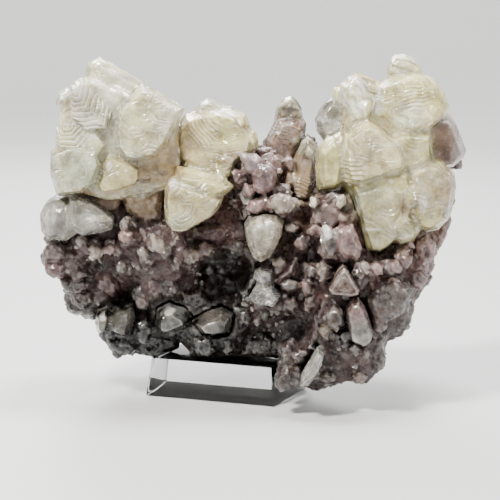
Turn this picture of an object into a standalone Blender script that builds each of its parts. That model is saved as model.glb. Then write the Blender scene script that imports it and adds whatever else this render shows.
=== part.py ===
"""A calcite specimen of large cream crystals on a knobbly mauve matrix, resting on a clear block.

The origin is on the surface that the block stands on, under the middle of the whole object.
+X runs across the specimen, -Y faces the viewer and +Z is up. Tables are in millimetres.
"""

import math
import random

import bmesh
import bpy
from mathutils import Matrix, Vector, noise
from mathutils.bvhtree import BVHTree

MM = 0.001

# Driving dimensions, in millimetres.
BLOCK_LENGTH = 42.0
BLOCK_DEPTH = 28.0
BLOCK_HEIGHT = 12.0
BLOCK_LEAN = 1.4
BLOCK_MIDDLE = (-8.3, -6.8)
BLOCK_TURN = math.radians(-21.9)
GAP = 0.3
CLOSEST_CORNERS = 0.06
MELTS = (0.05, 0.02, 0.005, 0.001, 0.0002)
FLAT_ANGLE = math.radians(2.0)

# The forms are laid out on a front view taken from this rise and distance, about this height.
VIEW_RISE = math.radians(9.0)
VIEW_DISTANCE = 700.0
VIEW_HEIGHT = 43.3

# A growth step is narrower, prouder, shorter at the back and turned a little from the one below it.
STEP_SHRINK = 0.17
STEP_PROUD = 1.3
STEP_BACK = 0.7
STEP_SLOPE = 1.5
STEP_TILT = (0.03, -0.02)

# The rough lumps, and the small crystals scattered over the sides and the back.
LUMP_ROUGHNESS = 0.13
LUMP_WAVES = 1.7
LUMP_VARIETY = 0.21
SEED = 11
SCATTERED = 30
SCATTERED_SIZES = (2.0, 4.2)
SCATTERED_LOWEST = 16.0
HEART = Vector((0.0, -4.0, 45.0))
FAR_OUTSIDE = 160.0
SKIN_SIZE = 2.0
MASS_FACES_KEPT = 0.05
MATRIX_FACES_KEPT = 0.52
BLOCK_BEVEL = 0.5
CRYSTAL_REACH = 60.0
KNOB_REACH = 30.0
KNOB_TAPER = 0.12


def place(across, up, depth):
    """The point at this depth that the front view shows at this place across and up."""
    rise = up - VIEW_HEIGHT
    sine, cosine = math.sin(VIEW_RISE), math.cos(VIEW_RISE)
    height = rise * (1 + depth * cosine / VIEW_DISTANCE) - depth * sine
    height /= cosine + rise * sine / VIEW_DISTANCE
    distance = VIEW_DISTANCE + depth * cosine - height * sine
    return Vector((across * distance / VIEW_DISTANCE, depth, height + VIEW_HEIGHT))


def form(outline, depths, slopes=(0, 42), table=0.35, tilt=(0, 0), steps=1):
    """One crystal: its outline from the front, its front, widest and back depths, the slopes of
    its bevelling faces, the share of its width that the flat front takes, the front's tilt, and
    how many growth steps it has."""
    return {
        "outline": outline,
        "depths": depths,
        "slopes": slopes,
        "table": table,
        "tilt": tilt,
        "steps": steps,
    }


CREAM_LEFT = (
    form(((-52, 97.5), (-51.2, 100.8), (-47.2, 103), (-34.5, 95.4), (-30, 87), (-40, 83), (-49, 86)),
         (-16, -7, 4), slopes=(6, 46), table=0.4, tilt=(0.1, 0.3)),
    form(((-42.5, 87), (-34.2, 95), (-27, 90.9), (-21.1, 87.2), (-23.4, 81), (-26, 75.5),
          (-29.5, 71.6), (-35, 70.1), (-39.8, 70.9), (-43, 75), (-43.3, 80.5)),
         (-31, -18, -3), slopes=(10, 55), table=0.55, tilt=(0.0, 0.12), steps=2),
    form(((-57, 90.5), (-56.6, 93.8), (-54, 96.2), (-51, 96.6), (-45, 91), (-41.5, 86),
          (-43, 79.5), (-52, 79), (-56.8, 84)),
         (-24, -14, -2), slopes=(8, 50), table=0.4, tilt=(-0.15, 0.2), steps=3),
    form(((-60, 92), (-61, 88.8), (-59.6, 85), (-56.5, 84), (-54.5, 90), (-57.2, 93.4)),
         (-14, -8, -1)),
    form(((-61.0, 76), (-60.7, 81.2), (-58, 83.2), (-53, 83.5), (-47, 80.5), (-43.5, 76),
          (-46.5, 72), (-59, 73.5)),
         (-26, -15, -2), slopes=(6, 52), table=0.4, tilt=(0.1, 0.25), steps=2),
    form(((-61.3, 62.3), (-62.8, 67), (-62.5, 73.6), (-60.5, 75.3), (-55, 77), (-47, 76),
          (-45.5, 70), (-48, 63.5), (-52, 60.6), (-60.5, 59.8)),
         (-29, -17, -2), slopes=(6, 48), table=0.5, tilt=(-0.12, 0.05)),
    form(((-48.8, 64), (-46, 71.5), (-44.5, 75), (-39.5, 72.5), (-33.6, 70.5), (-34, 65.5),
          (-35.6, 62.8), (-40, 61.8), (-44.4, 60.3), (-47.6, 61.3)),
         (-28, -17, 0), slopes=(5, 50), table=0.5, tilt=(0.05, -0.1)),
    form(((-37, 71), (-29, 74), (-24.5, 76.5), (-21.5, 71), (-23, 66.5), (-28, 63.4), (-36, 63.2)),
         (-19, -12, 2), table=0.5),
)

CREAM_MIDDLE = (
    form(((-25, 76), (-23.6, 82), (-21, 85.4), (-18, 86.2), (-10.5, 87), (-5, 85.5), (-2.2, 81.5),
          (0.4, 77.5), (-0.6, 73.6), (-6, 69), (-13, 66), (-19, 68), (-23.5, 71)),
         (-20, -8, 4), slopes=(6, 50), table=0.5, tilt=(0.08, 0.15)),
    form(((-18.3, 86.6), (-16.7, 88.8), (-14.3, 90.1), (-12.2, 89.6), (-10.4, 87.6), (-12, 84.5),
          (-16.5, 84.6)),
         (-14, -7, 1)),
    form(((-11.4, 88.2), (-6.5, 87.5), (-2.4, 85.2), (-1, 81.5), (-4, 80.5), (-9.5, 83.8)),
         (-17, -8, 3), table=0.6, tilt=(0.1, 0.7)),
    form(((-1.6, 80.5), (0.4, 80.4), (1.5, 77.2), (1.3, 74.6), (-0.8, 72.8), (-3.4, 74.5)),
         (-17, -10, 0)),
    form(((-13.4, 70), (-11, 73.4), (-8, 73.8), (-5, 71.5), (-6.4, 66.4), (-9.4, 65), (-12.6, 66)),
         (-25, -15, -2)),
    form(((-24.5, 66), (-23.7, 69), (-22, 71.6), (-18, 72.6), (-14.2, 69.6), (-10, 66.4),
          (-6.4, 65.6), (-6.1, 62.6), (-8.8, 60), (-16, 57.5), (-23, 60)),
         (-33, -21, -3), slopes=(8, 50), table=0.4, tilt=(0.1, 0.3)),
    form(((-27.5, 61.5), (-26.6, 65.2), (-24.2, 66.3), (-19, 64), (-9, 60.2), (-9.8, 57.2),
          (-12.4, 54), (-20, 49.6), (-22.6, 47.7), (-25.2, 48.6), (-27.4, 51.5)),
         (-39, -24, -6), slopes=(0, 48), table=0.5, tilt=(0.1, 0.05), steps=2),
)

CREAM_RIGHT = (
    form(((26.3, 88), (26.6, 94.4), (29, 96.6), (31.6, 97.9), (33.2, 97.7), (38.6, 94.9),
          (39.6, 90), (37, 83.5), (29, 81.5)),
         (-19, -8, 3), slopes=(6, 46), table=0.4, tilt=(-0.1, 0.2)),
    form(((23.9, 90.6), (24.6, 93.3), (26.9, 94.6), (28.6, 92), (28, 88.5), (25, 88.2)), (-9, -4, 2)),
    form(((40.8, 95.5), (41, 99), (41.8, 101.6), (43.2, 103.4), (46.3, 103.7), (49.2, 102.2),
          (51.2, 100.1), (51.9, 97.8), (50, 93.5), (43, 92.5)),
         (-11, -4, 4), slopes=(0, 30, 60), table=0.2),
    form(((38, 94.8), (41, 96.2), (45, 97.2), (50, 97.6), (53.3, 97.2), (56.6, 95.2), (58.6, 92),
          (60.3, 87.5), (59.6, 83.5), (55.6, 80.6), (51.5, 77.8), (46.6, 76.4), (41, 81),
          (37, 84.6), (36.4, 90)),
         (-26, -11, 5), slopes=(6, 46), table=0.3, tilt=(0.12, 0.3), steps=2),
    form(((27.6, 79), (35, 83.6), (38.4, 82), (45.4, 77), (47.4, 72.5), (47, 66.4), (44, 64.4),
          (35, 63.6), (29.6, 61.6), (27.4, 65), (26.4, 72)),
         (-38, -17, 5), slopes=(7, 38), table=0.25, tilt=(0.0, 0.25), steps=2),
    form(((19.4, 74.6), (22, 77.5), (24.3, 78.5), (27, 77.6), (29, 71), (28, 64), (25.5, 61.8),
          (19.4, 61.4), (18.9, 68)),
         (-27, -15, 2), slopes=(10, 50), table=0.35, tilt=(-0.1, 0.25)),
    form(((46.4, 65.6), (46.4, 69), (50, 71), (54.6, 72.2), (57.4, 71.2), (60.2, 68.8), (62, 66.8),
          (62.4, 62.8), (61.4, 57.6), (60.2, 53), (57, 49.6), (53, 48.6), (49, 50), (45.8, 56)),
         (-36, -18, 3), slopes=(8, 52), table=0.5, tilt=(0.12, 0.05)),
    form(((29.6, 62.8), (38, 65.4), (47.6, 64), (47, 55), (43.4, 46.6), (41, 44), (38, 42),
          (35.6, 41.2), (34, 43.4), (32.8, 50.5), (30.4, 56.4)),
         (-37, -22, -2), slopes=(4, 50), table=0.5, tilt=(-0.05, -0.05), steps=2),
    form(((41.4, 51), (43, 55), (46.8, 56.5), (50.6, 53), (51.3, 49), (49.4, 46.2), (45.2, 44.8),
          (42, 46.4)),
         (-40, -28, -10), slopes=(8, 45)),
)

PALE_LEFT = (
    form(((-65.3, 55), (-64, 57.8), (-61, 59.8), (-57, 60.3), (-53.4, 58.4), (-52, 53), (-53.4, 49.4),
          (-57.4, 47), (-62.8, 47.2), (-65, 49.8)),
         (-27, -17, -6), slopes=(0, 32, 62), table=0.25),
    form(((-56, 60.2), (-52.6, 60.1), (-49, 58.2), (-45, 55.6), (-42.9, 53.4), (-43.2, 50.6),
          (-46.5, 49.6), (-52.5, 48.6), (-57, 52)),
         (-30, -20, -8), slopes=(0, 35, 62), table=0.25),
)

CLEAR_RIGHT = (
    form(((21.4, 76.8), (19.1, 80.4), (18.8, 83.2), (20, 86.2), (22.3, 89.3), (24.2, 90.3),
          (27.5, 89), (29, 84), (28, 79)),
         (-3, 3, 9), slopes=(4, 40), table=0.3),
)

TALL_SPIRE = (
    form(((1.4, 73), (3.6, 77.4), (3.4, 81.6), (4.2, 83), (6.8, 84.6), (12, 85.4), (15.4, 83.8),
          (16.3, 82.4), (15.7, 78), (13.6, 73), (11, 67), (4, 67)),
         (-14, -5, 3), slopes=(4, 40), table=0.3, steps=2),
    form(((6.3, 83.4), (6.9, 87.2), (8.2, 88.7), (9.6, 90.1), (11.6, 90.9), (13.2, 89.6),
          (14.7, 87.2), (15.2, 84.6), (14, 81), (8, 81)),
         (-10, -4.6, 0.6), slopes=(0, 45), table=0.25),
)

SHORT_SPIRE = (
    form(((12.2, 71.5), (13.2, 73.8), (14.7, 76.8), (16.6, 78.4), (18.1, 77.4), (20.2, 75),
          (19.8, 70), (19, 64), (17.6, 58.6), (11.6, 58.6), (10.4, 63.5)),
         (-24, -13, -2), slopes=(4, 44), table=0.3),
    form(((8.3, 66), (9, 69), (10.6, 69.7), (12.8, 68.4), (13.4, 64), (9, 61.6), (7.4, 63)),
         (-23, -16, -6)),
)

PEARLY = (
    form(((-3, 51.5), (-1.4, 54), (3, 55.4), (7.2, 55), (9.4, 52.4), (8.9, 48.8), (7.4, 45.4),
          (5.4, 42), (2, 40.4), (-0.6, 42), (-2.4, 46)),
         (-40, -27, -10), slopes=(0, 35, 65), table=0.25),
)

TRIANGULAR = (
    form(((23, 31.6), (26.4, 37.4), (27.6, 38.3), (28.8, 37.6), (32.4, 31.6), (32, 30.2),
          (29.6, 29.6), (24, 30.2)),
         (-45, -40, -26), slopes=(0, 30), table=0.7),
)

WHITE_DRUSE = (
    form(((-1.6, 28.8), (0, 31.6), (2.4, 34.4), (6, 33.4), (8.6, 29.6), (6.4, 25.6), (1, 26.6)),
         (-38, -31, -18), table=0.5),
    form(((-0.2, 34.6), (0.4, 37), (2.8, 38.6), (6.4, 38.2), (6.2, 33.5), (2, 33)),
         (-36, -30, -18), table=0.5),
)

HANGING = (
    form(((28, 25), (29.6, 28), (32.2, 28.8), (34.2, 26), (36.9, 18.2), (36.2, 15.6), (33.6, 13.9),
          (29.4, 15.8)),
         (-46, -39, -28), slopes=(0, 40), table=0.3),
)

WHITE_BLADE = (
    form(((19.6, 13.2), (21.6, 11.6), (21.2, 8.8), (19.2, 5), (17, 2.2), (14.2, 1.6), (14.4, 5),
          (16.8, 9)),
         (-45, -40, -30), slopes=(0, 45), table=0.3),
)

MAUVE_RIGHT = (
    form(((54, 82.5), (57.4, 85.6), (60.4, 85.4), (62.2, 82.4), (64.1, 78), (65.4, 74),
          (64.8, 71.9), (61.6, 69), (57, 68), (53, 72)),
         (-16, -7, 4), slopes=(5, 45), table=0.35, tilt=(0.3, 0.0)),
)

CLEAR_LOW_LEFT = (
    form(((-30.3, 21), (-29.6, 25.4), (-26, 27.2), (-21, 25.4), (-18.8, 22.8), (-19.8, 20.2),
          (-24, 18.4), (-27.6, 17.2), (-29.8, 19.2)),
         (-25, -16, -2), slopes=(0, 42), table=0.35, tilt=(-0.2, 0.3)),
)

POINT_LOW_LEFT = (
    form(((-44.4, 22), (-42, 26.4), (-37, 27), (-36.4, 23), (-38, 16.4), (-41, 17), (-43.8, 18.6)),
         (-22, -14, 0), slopes=(0, 42), table=0.3),
    form(((-49, 21), (-48.2, 25), (-45, 26.2), (-43, 23.4), (-43.6, 18.4), (-48, 17.8)),
         (-20, -13, 0), slopes=(0, 42), table=0.3, tilt=(-0.2, 0.4)),
)

SIDE_POINT = (
    form(((-19, 21.6), (-15, 24.2), (-10, 25.8), (-5.8, 24.2), (-7, 18), (-12, 16.8), (-16, 17.6)),
         (-27, -18, -4), slopes=(0, 40), table=0.3),
)

# Each lump of the matrix: across, up, depth, and its half sizes in the same order.
MATRIX_LUMPS = (
    (-46, 53, 0, 16, 11, 18), (-57, 41, -5, 8.4, 7, 13), (-49, 29.5, -1, 10, 7.5, 13),
    (-39, 19, 1, 8, 8.4, 12), (-30, 45, -2, 18, 17, 20), (-22, 27, 1, 16, 13, 18),
    (-9, 21, -4, 17, 11.6, 18), (3, 47, -2, 20, 20, 21), (3, 64, -1, 14, 9, 17),
    (-11, 68, 4, 16, 14, 15), (30, 50, -4, 24, 20, 24), (42, 73, 4, 16, 16, 17),
    (52, 60, -5, 10, 13, 16), (47, 41, -13, 8.6, 13, 16), (28, 32, -18, 17, 13, 19),
    (29, 18, -23, 13, 11, 17), (19, 8.4, -26, 12.4, 7.6, 13), (33, 10, -26, 7.6, 8, 11),
    (-41, 72, 4, 17, 18, 14), (6, 31, -14, 12, 11, 17), (41, 27, -17, 8.4, 11, 15),
    (56, 76, 1, 6, 8, 10), (-53, 70, 2, 7, 9, 11), (-51, 41, 0, 9, 9, 14), (13, 19, -12, 9, 9, 14),
    (12, 71, 1, 9, 9, 12), (-27, 66, 2, 12, 12, 14),
)

# Small crystals seen on the front: across, up, depth of the tip, and half width.
KNOBS = (
    (-61, 43, -19, 3.6), (-61.5, 38.4, -17, 3.2), (-56.5, 41, -20, 3.2), (-53, 46, -22, 2.4),
    (-49, 43.2, -23, 2.8), (-44.6, 43.8, -23, 2.6), (-39.6, 47.4, -24, 2.9), (-40.4, 51.4, -24, 2.1),
    (-34, 41, -25, 2.7), (-30, 45.6, -27, 2.6), (-27.4, 43.4, -27, 2.2), (-40, 37.4, -22, 2.3),
    (-53.6, 34, -18, 2.4), (-18.6, 42, -28, 2.7), (-14, 38, -24, 2.4), (-15.6, 44, -28, 2.2), (-23.6, 39, -25, 2.4),
    (-34.6, 27.4, -20, 3.2), (-56, 30, -15, 3.4),
    (-4.4, 66, -27, 2.4), (-1.8, 61.6, -27, 2.2), (-2.2, 70.6, -25, 2.8), (5.4, 71, -24, 2.8),
    (9.6, 70.6, -22, 2.2), (3.4, 65.4, -27, 4.2), (8.6, 62.8, -28, 2.2), (0.6, 57.6, -32, 3.0),
    (7.6, 57.4, -36, 3.2), (11.6, 57, -35, 2.4), (18.4, 58.2, -33, 2.0),
    (24, 57.4, -33, 3.0), (27, 58.4, -34, 2.0), (27.6, 53, -34, 2.8), (10.6, 49.6, -33, 1.9),
    (14.6, 46.6, -33, 2.2), (17.8, 49, -35, 2.7), (22.6, 48.6, -38, 2.6), (26.6, 47.6, -39, 3.0),
    (28, 43.4, -39, 2.9), (23.2, 43.4, -38, 2.4), (7.6, 39.6, -34, 2.2), (17.6, 37.4, -37, 2.2),
    (21.4, 36.8, -40, 2.1), (33.6, 38, -43, 2.0), (37.6, 38.4, -42, 2.6), (42.6, 38.6, -38, 2.6),
    (47.6, 42.4, -36, 2.4), (53, 44, -30, 2.8), (51.6, 38, -30, 2.6), (11, 32.8, -34, 2.3),
    (15.6, 31.6, -36, 2.1), (16.6, 26.6, -38, 2.0), (10.6, 26, -33, 2.6), (24, 22.6, -42, 2.8),
    (22, 18.6, -41, 2.2), (31.6, 12, -40, 2.4), (34.4, 11.6, -39, 2.0),
    (38, 20.4, -37, 2.5), (38.6, 12, -35, 2.6), (13.8, 11, -40, 2.4), (9.4, 4.4, -38, 2.9),
    (23.4, 4.4, -39, 2.3), (32, 4.4, -37, 2.4), (-4.4, 23.6, -25, 1.6),
    (0.6, 21, -26, 2.0), (4, 24.6, -28, 2.2), (-33.4, 18, -16, 2.6),
    (-15, 13.6, -21, 3.0), (44, 33, -37, 3.6), (46.4, 27.4, -33, 3.0), (40, 27, -38, 3.2),
)

# Pits sunk in the matrix: across, up, depth, and half sizes.
PITS = (
    (-8.6, 37, -23, 8.4, 6.4, 15), (-39, 31, -18, 2.6, 3.6, 8), (10, 45, -32, 2.6, 4.2, 9),
    (14, 54.6, -30, 2.6, 2.6, 8), (-4.4, 61.6, -24, 1.6, 1.4, 7), (49, 42, -33, 1.7, 2.8, 8),
)


def clear_scene():
    for thing in list(bpy.data.objects):
        bpy.data.objects.remove(thing, do_unlink=True)


def calcite(name, colour, roughness=0.35, clearness=0.0):
    """A calcite finish, from milky to see-through."""
    made = bpy.data.materials.new(name)
    made.use_nodes = True
    shader = made.node_tree.nodes["Principled BSDF"]
    shader.inputs["Base Color"].default_value = (*colour, 1.0)
    shader.inputs["Roughness"].default_value = roughness
    shader.inputs["Transmission Weight"].default_value = clearness
    return made


def object_from(name, bm):
    """Makes an object of a mesh laid out in millimetres."""
    bmesh.ops.triangulate(bm, faces=bm.faces)
    bmesh.ops.recalc_face_normals(bm, faces=bm.faces)
    bm.transform(Matrix.Scale(MM, 4))
    mesh = bpy.data.meshes.new(name)
    bm.to_mesh(mesh)
    bm.free()
    made = bpy.data.objects.new(name, mesh)
    bpy.context.scene.collection.objects.link(made)
    return made


def cut_by_planes(middle, reach, planes):
    """The convex body that is left of a cube when each plane takes off what is outside it."""
    bm = bmesh.new()
    bmesh.ops.create_cube(bm, size=2 * reach, matrix=Matrix.Translation(middle))
    for point, normal in planes:
        cut = bmesh.ops.bisect_plane(
            bm, geom=bm.verts[:] + bm.edges[:] + bm.faces[:],
            plane_co=point, plane_no=normal, dist=1e-5, clear_outer=True,
        )
        edges = [item for item in cut["geom_cut"] if isinstance(item, bmesh.types.BMEdge)]
        rim = [edge for edge in edges if edge.is_boundary]
        if rim:
            bmesh.ops.contextual_create(bm, geom=rim)
    bmesh.ops.remove_doubles(bm, verts=bm.verts, dist=CLOSEST_CORNERS)
    shell = bmesh.new()
    for corner in bm.verts:
        shell.verts.new(corner.co)
    bm.free()
    bmesh.ops.convex_hull(shell, input=shell.verts)
    bmesh.ops.delete(shell, geom=[c for c in shell.verts if not c.link_faces], context="VERTS")
    return shell


def crystal_planes(outline, depths, slopes, table, tilt, swell=0.0):
    """The faces of one crystal, each moved out by swell."""
    front, widest, back = depths
    corners = [place(across, up, widest) for across, up in outline]
    middle = sum(corners, Vector()) / len(corners)
    edges = []
    for start, end in zip(corners, corners[1:] + corners[:1]):
        along = end - start
        outward = Vector((along.z, 0.0, -along.x)).normalized()
        if (start - middle).dot(outward) < 0:
            outward.negate()
        edges.append((start, outward))
    inner = min((start - middle).dot(outward) for start, outward in edges) * (1 - table)
    planes = []
    for start, outward in edges:
        for side, depth in ((-1, widest - front), (1, back - widest)):
            for slope in slopes:
                angle = math.radians(slope)
                normal = outward * math.cos(angle) + Vector((0.0, side * math.sin(angle), 0.0))
                if slope == slopes[0]:
                    distance = inner * math.cos(angle)
                else:
                    distance = math.hypot(inner * math.cos(angle), depth * math.sin(angle))
                heart = start - outward * inner
                planes.append((heart + normal * (distance + swell), normal))
    face = Vector((tilt[0], -1.0, tilt[1])).normalized()
    planes.append((Vector((middle.x, front, middle.z)) + face * swell, face))
    planes.append((Vector((middle.x, back + swell, middle.z)), Vector((0.0, 1.0, 0.0))))
    return middle, planes


def stepped(form_, step):
    """The outline and depths of one growth step of a crystal."""
    outline, (front, widest, back) = form_["outline"], form_["depths"]
    middle = [sum(values) / len(outline) for values in zip(*outline)]
    share = 1 - STEP_SHRINK * step
    narrower = tuple(
        (middle[0] + (across - middle[0]) * share, middle[1] + (up - middle[1]) * share)
        for across, up in outline
    )
    proud = front + (form_["steps"] - 1 - step) * STEP_PROUD
    return narrower, (proud, widest, back - STEP_BACK * step)


def crystal_bodies(name, forms):
    """The bodies that make up a group of crystals, each step of a stepped one included."""
    bodies = []
    for number, one in enumerate(forms):
        for step in range(one["steps"]):
            outline, depths = stepped(one, step)
            slopes = [slope + STEP_SLOPE * step for slope in one["slopes"]]
            tilt = [lean + step * more for lean, more in zip(one["tilt"], STEP_TILT)]
            middle, planes = crystal_planes(outline, depths, slopes, one["table"], tilt)
            body = cut_by_planes(middle, CRYSTAL_REACH, planes)
            bodies.append(object_from(f"{name}_{number}_{step}", body))
    return bodies


def seat_bodies(name, forms):
    """The room that a group of crystals takes up, with the gap all round it."""
    bodies = []
    for number, one in enumerate(forms):
        middle, planes = crystal_planes(
            one["outline"], one["depths"], one["slopes"], one["table"], one["tilt"], GAP
        )
        body = cut_by_planes(middle, CRYSTAL_REACH, planes)
        bodies.append(object_from(f"{name}_{number}", body))
    return bodies


def lump(name, across, up, depth, half_across, half_up, half_depth):
    """A rough lump: an ellipsoid of flat faces whose corners are pushed in and out."""
    middle = place(across, up, depth)
    bm = bmesh.new()
    bmesh.ops.create_icosphere(bm, subdivisions=2, radius=1.0)
    for corner in bm.verts:
        direction = corner.co.normalized()
        push = 1 + LUMP_ROUGHNESS * noise.noise(direction * LUMP_WAVES + middle * LUMP_VARIETY)
        corner.co = Vector((
            direction.x * half_across, direction.y * half_depth, direction.z * half_up
        )) * push + middle
    return object_from(name, bm)


def knob(name, tip, direction, half_width, length, dice):
    """A small stubby calcite crystal: a six-sided prism under three sloping end faces."""
    turn = direction.to_track_quat("Z", "Y").to_matrix() @ Matrix.Rotation(
        dice.uniform(0, math.tau), 3, "Z"
    )
    planes = []
    for side in range(6):
        angle = math.tau * side / 6
        out = turn @ Vector((math.cos(angle), math.sin(angle), KNOB_TAPER))
        size = half_width * dice.uniform(0.85, 1.1)
        planes.append((tip - direction * length * 0.5 + out * size, out))
    for side in range(3):
        angle = math.tau * (side + 0.5) / 3 + dice.uniform(-0.15, 0.15)
        out = (turn @ Vector((math.cos(angle), math.sin(angle), 1.1))).normalized()
        planes.append((tip - direction * 0.25 * half_width, out))
    planes.append((tip - direction * length, -direction))
    return object_from(name, cut_by_planes(tip - direction * length * 0.5, KNOB_REACH, planes))


def evaluated_copy(source, name):
    """The object's mesh with its modifiers applied, as a new object."""
    graph = bpy.context.evaluated_depsgraph_get()
    mesh = bpy.data.meshes.new_from_object(source.evaluated_get(graph))
    mesh.name = name
    made = bpy.data.objects.new(name, mesh)
    bpy.context.scene.collection.objects.link(made)
    return made


def remove(objects):
    for thing in objects:
        bpy.data.objects.remove(thing, do_unlink=True)


def cleaned(mesh):
    """Melts the slivers that a Boolean leaves, as far as the surface stays closed."""
    for melt in MELTS:
        bm = bmesh.new()
        bm.from_mesh(mesh)
        bmesh.ops.remove_doubles(bm, verts=bm.verts, dist=melt * MM)
        bmesh.ops.dissolve_degenerate(bm, edges=bm.edges, dist=melt * MM)
        bmesh.ops.dissolve_limit(
            bm, angle_limit=FLAT_ANGLE, verts=bm.verts, edges=bm.edges, delimit={"NORMAL"}
        )
        bmesh.ops.triangulate(bm, faces=bm.faces)
        if all(len(edge.link_faces) == 2 for edge in bm.edges):
            break
    bm.to_mesh(mesh)


def booleaned(base, operation, others, name, solver="EXACT"):
    """The base joined with the others, or cut by them, all at once."""
    tools = bpy.data.collections.new(f"{name}_tools")
    for other in others:
        tools.objects.link(other)
    step = base.modifiers.new("Boolean", "BOOLEAN")
    step.operation = operation
    step.operand_type = "COLLECTION"
    step.collection = tools
    step.solver = solver
    bpy.context.view_layer.update()
    made = evaluated_copy(base, name)
    cleaned(made.data)
    remove([base, *others])
    bpy.data.collections.remove(tools)
    return made


def keep_largest(thing):
    """Drops the crumbs that a cut leaves loose."""
    bm = bmesh.new()
    bm.from_mesh(thing.data)
    seen, islands = set(), []
    for start in bm.verts:
        if start in seen:
            continue
        island, front = set(), [start]
        seen.add(start)
        while front:
            corner = front.pop()
            island.add(corner)
            for edge in corner.link_edges:
                other = edge.other_vert(corner)
                if other not in seen:
                    seen.add(other)
                    front.append(other)
        islands.append(island)
    islands.sort(key=len)
    for island in islands[:-1]:
        bmesh.ops.delete(bm, geom=list(island), context="VERTS")
    bm.to_mesh(thing.data)
    bm.free()


def grown_together(name, forms):
    bodies = crystal_bodies(name, forms)
    if len(bodies) == 1:
        return bodies[0]
    return booleaned(bodies[0], "UNION", bodies[1:], f"{name}_whole")


def block_body(name, swell=0.0):
    """The clear block: a slab whose sides lean in towards its top."""
    bm = bmesh.new()
    bmesh.ops.create_cube(bm, size=1.0)
    for corner in bm.verts:
        lean = BLOCK_LEAN if corner.co.z > 0 else 0.0
        corner.co.x *= BLOCK_LENGTH + 2 * swell - 2 * lean
        corner.co.y *= BLOCK_DEPTH + 2 * swell - 2 * lean
        corner.co.z = BLOCK_HEIGHT + swell if corner.co.z > 0 else -swell
    bm.transform(Matrix.Translation((*BLOCK_MIDDLE, 0.0)) @ Matrix.Rotation(BLOCK_TURN, 4, "Z"))
    if not swell:
        bmesh.ops.bevel(bm, geom=bm.edges[:], offset=BLOCK_BEVEL, segments=1, affect="EDGES")
    return object_from(name, bm)


def melted(lumps, name):
    """The lumps run together into one mass, in few and uneven flat faces."""
    bm = bmesh.new()
    for one in lumps:
        bm.from_mesh(one.data)
    mesh = bpy.data.meshes.new(name)
    bm.to_mesh(mesh)
    bm.free()
    remove(lumps)
    mass = bpy.data.objects.new(name, mesh)
    bpy.context.scene.collection.objects.link(mass)
    skin = mass.modifiers.new("Remesh", "REMESH")
    skin.mode = "VOXEL"
    skin.voxel_size = SKIN_SIZE * MM
    return thinned(mass, name, MASS_FACES_KEPT)


def thinned(thing, name, share):
    """The object in fewer faces."""
    step = thing.modifiers.new("Decimate", "DECIMATE")
    step.ratio = share
    made = evaluated_copy(thing, name)
    remove([thing])
    return made


def tree_of(thing):
    bm = bmesh.new()
    bm.from_mesh(thing.data)
    tree = BVHTree.FromBMesh(bm)
    bm.free()
    return tree


def front_knobs(tree, dice):
    """The small crystals that are seen on the front, each growing out of the mass."""
    knobs = []
    for number, (across, up, depth, half_width) in enumerate(KNOBS):
        tip = place(across, up, depth)
        hit, normal, _, _ = tree.find_nearest(tip * MM)
        lean = Vector((dice.uniform(-0.35, 0.35), -1.0, dice.uniform(-0.1, 0.5)))
        direction = (normal * 0.8 + lean.normalized()).normalized()
        length = max(2.4 * half_width, (tip - hit / MM).length + 1.2 * half_width)
        knobs.append(knob(f"knob_{number}", tip, direction, half_width, length, dice))
    return knobs


def far_knobs(tree, dice):
    """The small crystals that are scattered over the sides and the back."""
    knobs = []
    for number in range(SCATTERED):
        rise = dice.uniform(-0.9, 0.8)
        turn = dice.uniform(0.02, 0.98) * math.pi
        flat = math.sqrt(1 - rise * rise)
        ray = Vector((math.cos(turn) * flat * 1.2, math.sin(turn) * flat, rise)).normalized()
        outside = HEART + ray * FAR_OUTSIDE
        hit, normal, _, _ = tree.ray_cast(outside * MM, -ray)
        if hit is None or hit.z < SCATTERED_LOWEST * MM:
            continue
        size = dice.uniform(*SCATTERED_SIZES)
        tip = hit / MM + normal * size * 0.9
        direction = (normal + ray * 0.4).normalized()
        knobs.append(knob(f"far_knob_{number}", tip, direction, size, 2.6 * size, dice))
    return knobs


def matrix_rough():
    """The matrix before the large crystals are seated in it: lumps, knobs, and pits between them."""
    dice = random.Random(SEED)
    lumps = [lump(f"lump_{n}", *row) for n, row in enumerate(MATRIX_LUMPS)]
    body = melted(lumps, "matrix_mass")
    tree = tree_of(body)
    knobs = front_knobs(tree, dice) + far_knobs(tree, dice)
    body = booleaned(body, "UNION", knobs, "matrix_knobbly", "MANIFOLD")
    pits = [lump(f"pit_{n}", *row) for n, row in enumerate(PITS)]
    body = booleaned(body, "DIFFERENCE", pits, "matrix_pitted", "MANIFOLD")
    return thinned(body, "matrix_thinned", MATRIX_FACES_KEPT)


GROUPS = (
    ("cream_crystals_left", CREAM_LEFT, "cream"),
    ("cream_crystals_right", CREAM_RIGHT, "straw"),
    ("cream_crystals_middle", CREAM_MIDDLE, "beige"),
    ("pale_crystal_left", PALE_LEFT, "pale"),
    ("mauve_crystal_right", MAUVE_RIGHT, "mauve"),
    ("clear_crystal_right", CLEAR_RIGHT, "clear"),
    ("short_spire", SHORT_SPIRE, "pink"),
    ("tall_spire", TALL_SPIRE, "pink"),
    ("pearly_crystal", PEARLY, "pearl"),
    ("triangular_crystal", TRIANGULAR, "rust"),
    ("white_druse", WHITE_DRUSE, "white"),
    ("hanging_crystal", HANGING, "pink"),
    ("white_blade", WHITE_BLADE, "white"),
    ("clear_crystal_low_left", CLEAR_LOW_LEFT, "clear"),
    ("clear_point_low_left", POINT_LOW_LEFT, "clear"),
    ("side_point", SIDE_POINT, "clear"),
)


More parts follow.
